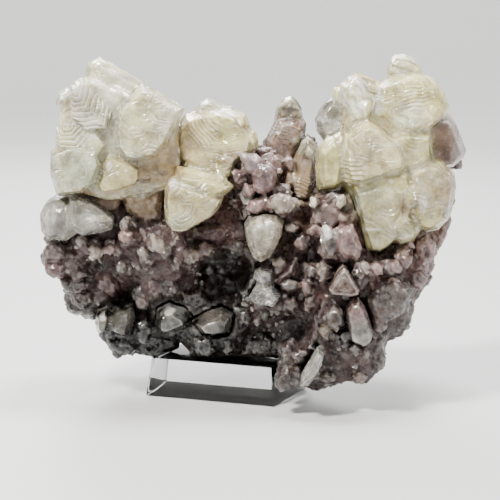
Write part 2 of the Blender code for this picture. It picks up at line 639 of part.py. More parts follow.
def finishes():
    return {
        "cream": calcite("cream calcite", (0.76, 0.72, 0.56)),
        "straw": calcite("straw calcite", (0.74, 0.68, 0.46)),
        "beige": calcite("beige calcite", (0.68, 0.62, 0.44)),
        "pale": calcite("pale grey calcite", (0.55, 0.54, 0.50)),
        "pearl": calcite("pearly calcite", (0.60, 0.55, 0.47)),
        "mauve": calcite("mauve calcite", (0.38, 0.28, 0.28)),
        "matrix": calcite("matrix calcite", (0.27, 0.20, 0.19), 0.5),
        "pink": calcite("pink calcite", (0.50, 0.38, 0.34)),
        "rust": calcite("rust-zoned calcite", (0.35, 0.16, 0.12)),
        "white": calcite("white calcite", (0.80, 0.79, 0.76)),
        "clear": calcite("clear calcite", (0.72, 0.71, 0.68), 0.1, 0.8),
        "block": calcite("clear acrylic", (0.95, 0.96, 0.97), 0.05, 1.0),
    }


def near(one, other):
    """Whether the boxes of two objects meet."""
    spans = []
    for thing in (one, other):
        points = [thing.matrix_world @ Vector(corner) for corner in thing.bound_box]
        spans.append([(min(p[axis] for p in points), max(p[axis] for p in points)) for axis in range(3)])
    return all(a[0] < b[1] and b[0] < a[1] for a, b in zip(*spans))


def seated(body, name, earlier, solver="EXACT"):
    """The body with room cut into it for every crystal that was made before it."""
    cutters = []
    for other_name, forms in earlier:
        cutters += seat_bodies(f"{name}_seat_{other_name}", forms)
    cutters.append(block_body(f"{name}_seat_block", GAP))
    close = [cutter for cutter in cutters if near(cutter, body)]
    remove([cutter for cutter in cutters if cutter not in close])
    made = booleaned(body, "DIFFERENCE", close, name, solver) if close else body
    made.name = name
    keep_largest(made)
    return made


def centre_on_origin(pieces):
    """Brings the middle of the whole object over the origin."""
    corners = [corner.co for piece in pieces for corner in piece.data.vertices]
    middle = [
        (min(corner[axis] for corner in corners) + max(corner[axis] for corner in corners)) / 2
        for axis in (0, 1)
    ]
    for piece in pieces:
        piece.data.transform(Matrix.Translation((-middle[0], -middle[1], 0.0)))


def main():
    clear_scene()
    finish = finishes()
    block = block_body("display_block")
    block.data.materials.append(finish["block"])
    pieces, earlier = [block], []
    for name, forms, finish_name in GROUPS:
        piece = seated(grown_together(name, forms), name, earlier)
        piece.data.materials.clear()
        piece.data.materials.append(finish[finish_name])
        pieces.append(piece)
        earlier.append((name, forms))
    matrix = seated(matrix_rough(), "matrix", earlier, "MANIFOLD")
    matrix.data.materials.clear()
    matrix.data.materials.append(finish["matrix"])
    pieces.append(matrix)
    centre_on_origin(pieces)


main()
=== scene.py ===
"""The looks of a calcite specimen: large cream crystals on a knobbly mauve matrix, on a clear block.

Tables are in millimetres, on a front view taken from the camera's own rise and distance. Each
crystal is cut face by face, gets its growth steps, and is grown together with its neighbours.
"""

import math
import random

import bpy
import numpy as np
from mathutils import Matrix, Vector
from mathutils.bvhtree import BVHTree
from mathutils.kdtree import KDTree


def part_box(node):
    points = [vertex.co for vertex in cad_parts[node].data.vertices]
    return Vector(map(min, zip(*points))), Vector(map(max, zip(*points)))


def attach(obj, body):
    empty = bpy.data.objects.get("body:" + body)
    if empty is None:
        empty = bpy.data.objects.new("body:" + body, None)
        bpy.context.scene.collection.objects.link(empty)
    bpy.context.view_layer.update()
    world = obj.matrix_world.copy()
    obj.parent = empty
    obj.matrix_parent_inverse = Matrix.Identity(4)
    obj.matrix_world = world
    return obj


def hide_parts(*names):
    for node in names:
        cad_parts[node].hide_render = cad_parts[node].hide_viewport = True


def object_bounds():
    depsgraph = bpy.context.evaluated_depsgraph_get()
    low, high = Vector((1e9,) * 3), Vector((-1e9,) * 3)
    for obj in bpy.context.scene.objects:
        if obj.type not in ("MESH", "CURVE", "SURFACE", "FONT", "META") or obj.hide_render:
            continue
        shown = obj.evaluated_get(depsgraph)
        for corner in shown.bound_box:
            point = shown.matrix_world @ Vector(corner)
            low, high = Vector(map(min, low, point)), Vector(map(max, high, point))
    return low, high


MM = 0.001

# The front view that the tables are drawn on.
VIEW_RISE = math.radians(9.0)
VIEW_DISTANCE = 700.0
VIEW_MIDDLE = (-1.08, 43.3)
VIEW_WIDTH = 153.85
SENSOR_WIDTH = 36.0

# The clear block.
BLOCK_LENGTH = 42.0
BLOCK_DEPTH = 28.0
BLOCK_HEIGHT = 12.0
BLOCK_LEAN = 1.4
BLOCK_EDGE = 0.45
BLOCK_MIDDLE = (-8.3, -6.8)
BLOCK_TURN = math.radians(-21.9)
ACRYLIC_IOR = 1.49

# How the large crystals are cut and grown together.
GROUP_GRAIN = 0.3
GROOVE_FILL = 0.8
CRYSTAL_REACH = 60.0
CLOSEST_CORNERS = 0.06
MOST_FACES = 190000

# Their growth steps, and the slight unevenness of natural faces: sizes and rises.
STRONGEST_STEP = 0.5
STEP_RISE = 0.9
STEP_WOBBLE = 7
STEP_PATCH = 9
STEP_END = 0.6
PATCHY_FROM = 0.4
RISER = 0.2
FACE_UNEVENNESS = ((2.6, 0.05), (9, 0.07))
WAVES = 7
WAVE_PACES = (0.6, 1.7)
WAVE_TOP = 3.2

# How their colour runs, and how the light falls off towards the foot.
CALCITE_IOR = 1.6
COLOUR_RUN = 13
CONTACT_WIDTH = 1.6
CONTACT_PATCH = 9
CONTACT_HONEY = 0.55
SEAM_WIDTH = 0.4
SEAM_WHITE = 0.7
HOLLOW_SHADE = 0.25
RIDGE_HIGHLIGHT = 0.3
HALF_HEIGHT = 45
MIDDLE_SHADE = 0.66
SHADE_RISE = 0.42
LEAST_SHADE = 0.36
MOST_SHADE = 1.05

# Painted shade: how the stone is painted darker and warmer low down, most of all at the lower left.
MATRIX_LIGHT = 0.96
DARK_BELOW = 46
LOW_DARKNESS = 0.78
LEFT_DARK_BELOW = 36
LEFT_DARK_FROM = 4
LEFT_DARKNESS = 0.9
WARM_SHADE = (0.9, 1.01, 1.02)

# The finest growth lines, in the material.
LINE_RELIEF = 0.28
CONTOUR_RELIEF = 0.24
CONTOUR_STRETCH = (0.7, 1.0, 1.5)
CONTOUR_HILL = 8.0
CONTOUR_PATCH = 8.0
CONTOUR_COUNT = 12.0

# The matrix and its crust of small crystals.
MATRIX_GRAIN = 0.74
MATRIX_CELLS = ((5.5, 1.6), (2.4, 0.8))
SMOOTHER_LEFT = 0.45
FRONT_GRAIN = 0.42
BACK_GRAIN = 0.6
FRONT_LIMIT = 0.15
RESTING_HEIGHT = 17.5
CLOSEST_CRYSTAL = 0.5
SMOOTH_SHARE = 0.05
RIGHT_RIM = 59.0
CRUST_VARIETY = 0.22
SEED = 5

# Small crystals, one unit wide: the height of the rim, the sides' taper and the tip's steepness.
SMALL_CRYSTALS = ((1.0, 0.1, 0.9), (1.3, 0.3, 1.6), (0.6, 0.05, 0.5))

# Each crust or druse of them: its spacing, their sizes for that spacing, and the share that grows.
FRONT_CRUST = (4.2, (0.3, 0.4, 0.5), 0.55)
BACK_CRUST = (6.0, (0.3, 0.45, 0.6), 0.85)
FRONT_DRUSE = (1.6, (0.3, 0.4, 0.55), 0.4)
CRUST_DRUSE = (2.4, (0.2, 0.25, 0.3), 0.4)
BACK_DRUSE = (2.4, (0.35, 0.5, 0.7), 0.55)

# The studio. Each light has its place, its aim, its size, its power and its colour.
FLOOR_WIDTH = 6.0
FLOOR_CUTS = 80
FLOOR_COLOUR = (0.62, 0.617, 0.61, 1.0)
SWEEP_START = 0.7
SWEEP = 1.3
SKY = (0.9, 0.92, 0.95, 1.0)
SKY_STRENGTH = 0.16
MIDDLE = (0, 0, 0.05)
LIGHTS = (
    ("key", (-0.3, -0.34, 0.58), MIDDLE, 0.13, 11.0, (1.0, 0.985, 0.955)),
    ("top", (0.1, 0.04, 0.6), MIDDLE, 0.2, 5.5, (1, 1, 1)),
    ("right", (0.5, -0.3, 0.22), MIDDLE, 0.15, 1.3, (0.95, 0.97, 1.0)),
    ("back", (-0.1, 0.55, 0.4), MIDDLE, 0.3, 4.5, (1, 1, 1)),
    ("backdrop", (0, 0.6, 1.6), (0, 1.9, 0.6), 1.2, 34.0, (1, 1, 1)),
    ("front backdrop", (0, -0.9, 1.7), (0, -2.1, 0.7), 1.2, 12.0, (1, 1, 1)),
)

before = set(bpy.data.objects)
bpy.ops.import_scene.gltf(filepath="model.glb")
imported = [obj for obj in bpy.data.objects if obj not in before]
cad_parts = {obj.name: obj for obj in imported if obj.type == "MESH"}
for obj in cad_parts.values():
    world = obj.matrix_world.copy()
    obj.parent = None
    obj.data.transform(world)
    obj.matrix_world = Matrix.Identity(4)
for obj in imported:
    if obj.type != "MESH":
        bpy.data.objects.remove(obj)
cad_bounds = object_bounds()
block_low, block_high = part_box("display_block")
SHIFT = Vector((
    (block_low[0] + block_high[0]) / 2 / MM - BLOCK_MIDDLE[0],
    (block_low[1] + block_high[1]) / 2 / MM - BLOCK_MIDDLE[1],
    0.0,
))


def form(outline, depths, slopes=(12, 44), table=0.35, tilt=(0, 0), terraces=()):
    """One crystal: its outline from the front, its front, widest and back depths, the slopes of
    its bevelling faces, the share of its width that the flat front takes, the front's tilt, and
    its growth terraces."""
    return {
        "outline": outline,
        "depths": depths,
        "slopes": slopes,
        "table": table,
        "tilt": tilt,
        "terraces": terraces,
    }


def rings(centre, pitch, height, wobble=0.6, reach=100.0):
    """Growth steps that follow the crystal's outline round a centre."""
    return {"kind": "rings", "centre": centre, "pitch": pitch, "height": height, "wobble": wobble,
            "reach": reach}


def bands(centre, pitch, height, angle, wobble=0.6, reach=100.0):
    """Growth steps that run side by side; the angle is that of their rise, from across."""
    return {"kind": "bands", "centre": centre, "pitch": pitch, "height": height, "wobble": wobble,
            "reach": reach, "angle": math.radians(angle)}


CREAM_LEFT = (
    form(((-52, 97.5), (-51.2, 100.8), (-47.2, 103), (-34.5, 95.4), (-30, 87), (-40, 83), (-49, 86)),
         (-23, -14, 4), slopes=(14, 48), table=0.78, tilt=(0.1, 0.3)),
    form(((-42.5, 87), (-34.2, 95), (-27, 90.9), (-21.1, 87.2), (-23.4, 81), (-26, 75.5),
          (-29.5, 71.6), (-35, 70.1), (-39.8, 70.9), (-43, 75), (-43.3, 80.5)),
         (-30, -23, -3), slopes=(17, 57), table=0.82, tilt=(0.0, 0.12),
         terraces=(rings((-33, 90), 1.25, 0.28, wobble=0.7),)),
    form(((-57, 90.5), (-56.6, 93.8), (-54, 96.2), (-51, 96.6), (-45, 91), (-41.5, 86),
          (-43, 79.5), (-52, 79), (-56.8, 84)),
         (-27, -20, -2), slopes=(16, 52), table=0.78, tilt=(-0.15, 0.2),
         terraces=(rings((-54.2, 95.4), 1.45, 0.5, wobble=0.25, reach=16),)),
    form(((-60, 92), (-61, 88.8), (-59.6, 85), (-56.5, 84), (-54.5, 90), (-57.2, 93.4)),
         (-21, -15, -1)),
    form(((-61.0, 76), (-60.7, 81.2), (-58, 83.2), (-53, 83.5), (-47, 80.5), (-43.5, 76),
          (-46.5, 72), (-59, 73.5)),
         (-28, -21, -2), slopes=(14, 54), table=0.75, tilt=(0.1, 0.25),
         terraces=(rings((-55, 84.5), 1.2, 0.4, wobble=0.25, reach=7),)),
    form(((-61.3, 62.3), (-62.8, 67), (-62.5, 73.6), (-60.5, 75.3), (-55, 77), (-47, 76),
          (-45.5, 70), (-48, 63.5), (-52, 60.6), (-60.5, 59.8)),
         (-30, -22, -2), slopes=(14, 50), table=0.80, tilt=(-0.12, 0.05),
         terraces=(rings((-54, 73), 2.3, 0.2, wobble=0.8),)),
    form(((-48.8, 64), (-46, 71.5), (-44.5, 75), (-39.5, 72.5), (-33.6, 70.5), (-34, 65.5),
          (-35.6, 62.8), (-40, 61.8), (-44.4, 60.3), (-47.6, 61.3)),
         (-28, -21, 0), slopes=(13, 52), table=0.80, tilt=(0.05, -0.1)),
    form(((-37, 71), (-29, 74), (-24.5, 76.5), (-21.5, 71), (-23, 66.5), (-28, 63.4), (-36, 63.2)),
         (-25, -19, 2), slopes=(8, 47), table=0.80),
    form(((-60, 63), (-60, 90), (-50, 97), (-33, 91), (-24, 86), (-21.6, 74), (-23, 64), (-32, 60),
          (-45, 58.6)), (-25.5, -19, 2), slopes=(8, 42), table=0.85),
)

CREAM_MIDDLE = (
    form(((-25, 76), (-23.6, 82), (-21, 85.4), (-18, 86.2), (-10.5, 87), (-5, 85.5), (-2.2, 81.5),
          (0.4, 77.5), (-0.6, 73.6), (-6, 69), (-13, 66), (-19, 68), (-23.5, 71)),
         (-23, -15, 4), slopes=(14, 52), table=0.80, tilt=(0.08, 0.15),
         terraces=(bands((-15, 82), 1.1, 0.35, 35, wobble=0.3, reach=4.5),)),
    form(((-18.3, 86.6), (-16.7, 88.8), (-14.3, 90.1), (-12.2, 89.6), (-10.4, 87.6), (-12, 84.5),
          (-16.5, 84.6)),
         (-18, -12, 1), terraces=(rings((-14, 87), 1.0, 0.3),)),
    form(((-11.4, 88.2), (-6.5, 87.5), (-2.4, 85.2), (-1, 81.5), (-4, 80.5), (-9.5, 83.8)),
         (-19, -13, 3), table=0.80, tilt=(0.1, 0.7)),
    form(((-1.6, 80.5), (0.4, 80.4), (1.5, 77.2), (1.3, 74.6), (-0.8, 72.8), (-3.4, 74.5)),
         (-19, -13, 0)),
    form(((-13.4, 70), (-11, 73.4), (-8, 73.8), (-5, 71.5), (-6.4, 66.4), (-9.4, 65), (-12.6, 66)),
         (-26, -20, -2)),
    form(((-24.5, 66), (-23.7, 69), (-22, 71.6), (-18, 72.6), (-14.2, 69.6), (-10, 66.4),
          (-6.4, 65.6), (-6.1, 62.6), (-8.8, 60), (-16, 57.5), (-23, 60)),
         (-34, -26, -3), slopes=(16, 52), table=0.78, tilt=(0.1, 0.3),
         terraces=(bands((-12, 64), 1.3, 0.25, 120, wobble=0.6, reach=6),)),
    form(((-27.5, 61.5), (-26.6, 65.2), (-24.2, 66.3), (-19, 64), (-9, 60.2), (-9.8, 57.2),
          (-12.4, 54), (-20, 49.6), (-22.6, 49), (-25.2, 49.4), (-27.4, 52.5)),
         (-39, -29, -6), slopes=(8, 50), table=0.80, tilt=(0.1, 0.05),
         terraces=(rings((-21, 61), 1.6, 0.28, wobble=0.6),)),
)

CREAM_RIGHT = (
    form(((26.3, 88), (26.6, 94.4), (29, 96.6), (31.6, 97.9), (33.2, 97.7), (38.6, 94.9),
          (39.6, 90), (37, 83.5), (29, 81.5)),
         (-27, -18, 3), slopes=(14, 48), table=0.75, tilt=(-0.1, 0.2),
         terraces=(bands((32, 90), 2.6, 0.5, 30, wobble=0.35, reach=7),)),
    form(((23.9, 90.6), (24.6, 93.3), (26.9, 94.6), (28.6, 92), (28, 88.5), (25, 88.2)), (-14, -9, 2)),
    form(((40.8, 95.5), (41, 99), (41.8, 101.6), (43.2, 103.4), (46.3, 103.7), (49.2, 102.2),
          (51.2, 100.1), (51.9, 97.8), (50, 93.5), (43, 92.5)),
         (-18, -12, 4), slopes=(8, 34, 62), table=0.60,
         terraces=(bands((46, 100.6), 3.0, 0.45, 70, wobble=0.3, reach=5),)),
    form(((38, 94.8), (41, 96.2), (45, 97.2), (50, 97.6), (53.3, 97.2), (56.6, 95.2), (58.6, 92),
          (60.3, 87.5), (58.4, 82.5), (53.6, 80), (49.6, 76.8), (46.6, 76.4), (41, 81),
          (37, 84.6), (36.4, 90)),
         (-28, -20, 5), slopes=(14, 48), table=0.72, tilt=(0.12, 0.3),
         terraces=(bands((48, 92.5), 1.1, 0.3, 100, wobble=0.3, reach=4),
                   rings((44, 93), 2.6, 0.2, wobble=0.8))),
    form(((27.6, 79), (35, 83.6), (38.4, 82), (45.4, 77), (47.4, 72.5), (47, 66.4), (44, 64.4),
          (35, 63.6), (29.6, 61.6), (27.4, 65), (26.4, 72)),
         (-36, -27, 5), slopes=(15, 44), table=0.70, tilt=(0.0, 0.25),
         terraces=(bands((28.4, 71), 1.35, 0.5, 90, wobble=0.2, reach=4.2),
                   rings((37, 80), 2.6, 0.25, wobble=0.6))),
    form(((19.4, 74.6), (22, 77.5), (24.3, 78.5), (27, 77.6), (29, 71), (28, 64), (25.5, 61.8),
          (19.4, 61.4), (18.9, 68)),
         (-31, -23, 2), slopes=(17, 52), table=0.72, tilt=(-0.1, 0.25)),
    form(((46.4, 65.6), (46.4, 69), (50, 71), (54.6, 72.2), (57.4, 71.2), (60.2, 68.8), (62, 66.8),
          (62.4, 62.8), (61.4, 57.6), (60.2, 53), (57, 49.6), (53, 48.6), (49, 50), (45.8, 56)),
         (-34, -25, 3), slopes=(16, 54), table=0.80, tilt=(0.12, 0.05)),
    form(((29.6, 62.8), (38, 65.4), (47.6, 64), (47, 55), (44.6, 47), (42, 44.6), (38.6, 42.6),
          (35.2, 43), (33.6, 45), (32.4, 50.5), (30.4, 56.4)),
         (-35, -26, -2), slopes=(12, 52), table=0.80, tilt=(-0.05, -0.05),
         terraces=(rings((39, 62), 2.8, 0.22, wobble=0.7),)),
    form(((41.4, 51), (43, 55), (46.8, 56.5), (50.6, 53), (51.3, 49), (49.4, 46.2), (45.2, 44.8),
          (42, 46.4)),
         (-38, -30, -10), slopes=(16, 47), table=0.75),
    form(((25, 66), (28, 90), (50, 94), (54, 84), (55, 72), (57, 56), (46, 50), (36, 50)),
         (-27, -20, 2), slopes=(8, 42), table=0.85),
    form(((41, 79), (45.5, 80.5), (54.6, 80), (55.4, 74), (56, 69.4), (50, 66), (44.4, 68)),
         (-31, -24, 0), slopes=(14, 52), table=0.80),
    form(((29, 64.6), (37, 68), (47.4, 68.6), (50, 60), (48.4, 52), (40, 50), (31.6, 56)),
         (-34.6, -27, 0), slopes=(12, 52), table=0.80),
)

PALE_LEFT = (
    form(((-65.3, 55), (-64, 57.8), (-61, 59.8), (-57, 60.3), (-53.4, 58.4), (-52, 53), (-53.4, 49.4),
          (-57.4, 47), (-62.8, 47.2), (-65, 49.8)),
         (-27, -17, -6), slopes=(0, 32, 62), table=0.25),
    form(((-56, 60.2), (-52.6, 60.1), (-49, 58.2), (-45, 55.6), (-42.9, 53.4), (-43.2, 50.6),
          (-46.5, 49.6), (-52.5, 48.6), (-57, 52)),
         (-30, -20, -8), slopes=(0, 35, 62), table=0.25),
)

CLEAR_RIGHT = (
    form(((21.4, 76.8), (19.1, 80.4), (18.8, 83.2), (20, 86.2), (22.3, 89.3), (24.2, 90.3),
          (27.5, 89), (29, 84), (28, 79)),
         (-3, 3, 9), slopes=(4, 40), table=0.3),
)

TALL_SPIRE = (
    form(((1.4, 73), (3.6, 77.4), (3.4, 81.6), (4.2, 83), (6.8, 84.6), (12, 85.4), (15.4, 83.8),
          (16.3, 82.4), (15.7, 78), (13.6, 73), (11, 67), (4, 67)),
         (-14, -5, 3), slopes=(12, 42), table=0.3,
         terraces=(bands((9, 77), 1.5, 0.3, 70, wobble=0.9),)),
    form(((6.3, 83.4), (6.9, 87.2), (8.2, 88.7), (9.6, 90.1), (11.6, 90.9), (13.2, 89.6),
          (14.7, 87.2), (15.2, 84.6), (14, 81), (8, 81)),
         (-10, -4.6, 0.6), slopes=(10, 45), table=0.25, terraces=(rings((11, 86), 1.4, 0.15),)),
)

SHORT_SPIRE = (
    form(((12.2, 71.5), (13.2, 73.8), (14.7, 76.8), (16.6, 78.4), (18.1, 77.4), (20.2, 75),
          (19.8, 70), (19, 64), (17.6, 58.6), (11.6, 58.6), (10.4, 63.5)),
         (-24, -13, -2), slopes=(12, 46), table=0.3,
         terraces=(bands((15.5, 64), 1.0, 0.3, 80, wobble=0.4, reach=5),)),
    form(((8.3, 66), (9, 69), (10.6, 69.7), (12.8, 68.4), (13.4, 64), (9, 61.6), (7.4, 63)),
         (-23, -16, -6)),
)

PEARLY = (
    form(((-3, 51.5), (-1.4, 54), (3, 55.4), (7.2, 55), (9.4, 52.4), (8.9, 48.8), (7.4, 45.4),
          (5.4, 42), (2, 40.4), (-0.6, 42), (-2.4, 46)),
         (-40, -27, -10), slopes=(4, 35, 65), table=0.25),
)

TRIANGULAR = (
    form(((23, 31.6), (26.4, 37.4), (27.6, 38.3), (28.8, 37.6), (32.4, 31.6), (32, 30.2),
          (29.6, 29.6), (24, 30.2)),
         (-45, -40, -26), slopes=(0, 30), table=0.75),
)

WHITE_DRUSE = (
    form(((-1.6, 28.8), (0, 31.6), (2.4, 34.4), (6, 33.4), (8.6, 29.6), (6.4, 25.6), (1, 26.6)),
         (-38, -31, -18), table=0.5, terraces=(rings((3.5, 30), 1.0, 0.4, wobble=2.5),)),
    form(((-0.2, 34.6), (0.4, 37), (2.8, 38.6), (6.4, 38.2), (6.2, 33.5), (2, 33)),
         (-36, -30, -18), table=0.5, terraces=(rings((3, 36), 0.9, 0.4, wobble=2.5),)),
)

HANGING = (
    form(((28, 25), (29.6, 28), (32.2, 28.8), (34.2, 26), (36.9, 18.2), (36.2, 15.6), (33.6, 13.9),
          (29.4, 15.8)),
         (-46, -39, -28), slopes=(8, 42), table=0.45,
         terraces=(bands((33.4, 17.6), 1.2, 0.3, 75, wobble=0.3, reach=5),)),
)

WHITE_BLADE = (
    form(((19.6, 13.2), (21.6, 11.6), (21.2, 8.8), (19.2, 5), (17, 2.2), (14.2, 1.6), (14.4, 5),
          (16.8, 9)),
         (-45, -40, -30), slopes=(6, 46), table=0.45,
         terraces=(bands((18, 7), 1.2, 0.25, 150, wobble=0.8),)),
)

MAUVE_RIGHT = (
    form(((50, 82.5), (56, 85.8), (60.4, 85.4), (62.2, 82.4), (64.1, 78), (65.4, 74),
          (64.8, 71.9), (61.6, 69), (56, 67.6), (49.5, 72)),
         (-20, -9, 4), slopes=(12, 48), table=0.45, tilt=(0.12, 0.15)),
)

CLEAR_LOW_LEFT = (
    form(((-30.3, 21), (-29.6, 25.4), (-26, 27.2), (-21, 25.4), (-18.8, 22.8), (-19.8, 20.2),
          (-24, 18.4), (-27.6, 17.2), (-29.8, 19.2)),
         (-25, -16, -2), slopes=(14, 46), table=0.35, tilt=(-0.2, 0.3)),
)

POINT_LOW_LEFT = (
    form(((-44.4, 22), (-42, 26.4), (-37, 27), (-36.4, 23), (-38, 16.4), (-41, 17), (-43.8, 18.6)),
         (-22, -14, 0), slopes=(14, 46), table=0.3),
    form(((-49, 21), (-48.2, 25), (-45, 26.2), (-43, 23.4), (-43.6, 18.4), (-48, 17.8)),
         (-20, -13, 0), slopes=(14, 46), table=0.3, tilt=(-0.2, 0.4)),
)

SIDE_POINT = (
    form(((-19, 21.6), (-15, 24.2), (-10, 25.8), (-5.8, 24.2), (-7, 18), (-12, 16.8), (-16, 17.6)),
         (-27, -18, -4), slopes=(14, 46), table=0.3),
)

# The colours that the crystals and the matrix take, red, green and blue out of 255.
WHITE = (248, 246, 234)
CREAM = (235, 227, 162)
STRAW = (230, 219, 152)
BEIGE = (216, 198, 148)
GREY_WHITE = (224, 220, 196)
GREENISH = (208, 218, 186)
HONEY = (186, 154, 100)
BROWN = (98, 66, 46)
RUST = (112, 58, 46)
MAUVE = (114, 86, 86)
PINK = (150, 119, 115)
MAUVE_GREY = (82, 63, 63)
BROWN_GREY = (74, 46, 38)
# DARK is used for painted shade in hollows and pits.
DARK = (37, 24, 20)
PALE_STREAK = (118, 107, 101)
PALE = (152, 138, 126)
# STEP_SHADE is painted shade at the foot of growth steps.
STEP_SHADE = (150, 142, 102)
CLOUD_SHADE = (176, 162, 118)
FINE_SHADE = (120, 110, 84)

# The looks of each kind of calcite, where they differ from the plain one.
CALCITES = {
    "cream calcite": {
        "veil": 0.18, "edge": 0.6, "depth": 1.0, "roughness": (0.07, 0.25), "faces": (2.6, 0.18),
        "stepped": True, "contours": True,
    },
    "grey-white calcite": {"milk": 0.35, "veil": 0.25, "stepped": True, "contours": True},
    "pink calcite": {"milk": 0.3, "veil": 0.2, "stepped": True},
    "sparkling calcite": {
        "milk": 0.3, "grain": 0.6, "roughness": (0.06, 0.25), "faces": (0.9, 0.45), "stepped": True,
    },
    "clear calcite": {
        "milk": 0.0, "roughness": (0.03, 0.12), "grain": 0.1, "edge": 0.3, "veil": 0.08,
        "faces": (2.0, 0.15), "stepped": True,
    },
    "matrix calcite": {
        "milk": 0.15, "roughness": (0.2, 0.45), "grain": 0.6, "edge": 0.12, "veil": 0.05,
        "painted_hollow_shade": 0.6, "depth": 0.8, "faces": (0.8, 0.3), "shine": 0.3,
    },
    "druse calcite": {
        "milk": 0.2, "roughness": (0.08, 0.28), "grain": 0.35, "edge": 0.18, "veil": 0.06,
        "painted_hollow_shade": 0.3, "depth": 0.8, "faces": (1.1, 0.28), "shine": 0.45,
    },
}

# Each group of crystals: its piece, forms, two running colours, clearness, material, slot and node.
GROUPS = (
    ("left_crystals", CREAM_LEFT, CREAM, GREY_WHITE, 0.36, "cream calcite", "cream_calcite",
     "cream_crystals_left"),
    ("middle_crystals", CREAM_MIDDLE, BEIGE, CREAM, 0.36, "cream calcite", "beige_calcite",
     "cream_crystals_middle"),
    ("right_crystals", CREAM_RIGHT, STRAW, CREAM, 0.36, "cream calcite", "straw_calcite",
     "cream_crystals_right"),
    ("left_lobes", PALE_LEFT, (148, 145, 135), (178, 175, 166), 0.5, "grey-white calcite",
     "pale_grey_calcite", "pale_crystal_left"),
    ("right_clear", CLEAR_RIGHT, (190, 187, 183), GREY_WHITE, 0.92, "clear calcite", "clear_calcite",
     "clear_crystal_right"),
    ("tall_point", TALL_SPIRE, (138, 108, 100), (136, 110, 94), 0.4, "pink calcite", "pink_calcite",
     "tall_spire"),
    ("short_point", SHORT_SPIRE, (176, 144, 124), (186, 164, 134), 0.4, "pink calcite",
     "pink_calcite", "short_spire"),
    ("pearl", PEARLY, (158, 143, 123), (180, 172, 159), 0.35, "grey-white calcite", "pearly_calcite",
     "pearly_crystal"),
    ("triangle", TRIANGULAR, RUST, PINK, 0.05, "pink calcite", "rust_zoned_calcite",
     "triangular_crystal"),
    ("glitter", WHITE_DRUSE, (196, 193, 192), (158, 154, 153), 0.3, "sparkling calcite",
     "white_calcite", "white_druse"),
    ("hanging_point", HANGING, (176, 140, 138), (166, 150, 144), 0.45, "pink calcite",
     "pink_calcite", "hanging_crystal"),
    ("blade", WHITE_BLADE, (196, 192, 188), (220, 217, 212), 0.3, "grey-white calcite",
     "white_calcite", "white_blade"),
    ("right_mauve", MAUVE_RIGHT, PINK, (150, 118, 96), 0.4, "pink calcite", "mauve_crystal",
     "mauve_crystal_right"),
    ("low_clear", CLEAR_LOW_LEFT, (150, 153, 146), (180, 182, 176), 0.85, "clear calcite",
     "clear_calcite", "clear_crystal_low_left"),
    ("low_points", POINT_LOW_LEFT, (128, 122, 112), (166, 162, 152), 0.8, "clear calcite",
     "clear_calcite", "clear_point_low_left"),
    ("low_side_point", SIDE_POINT, (118, 104, 96), (150, 142, 134), 0.7, "clear calcite",
     "clear_calcite", "side_point"),
)
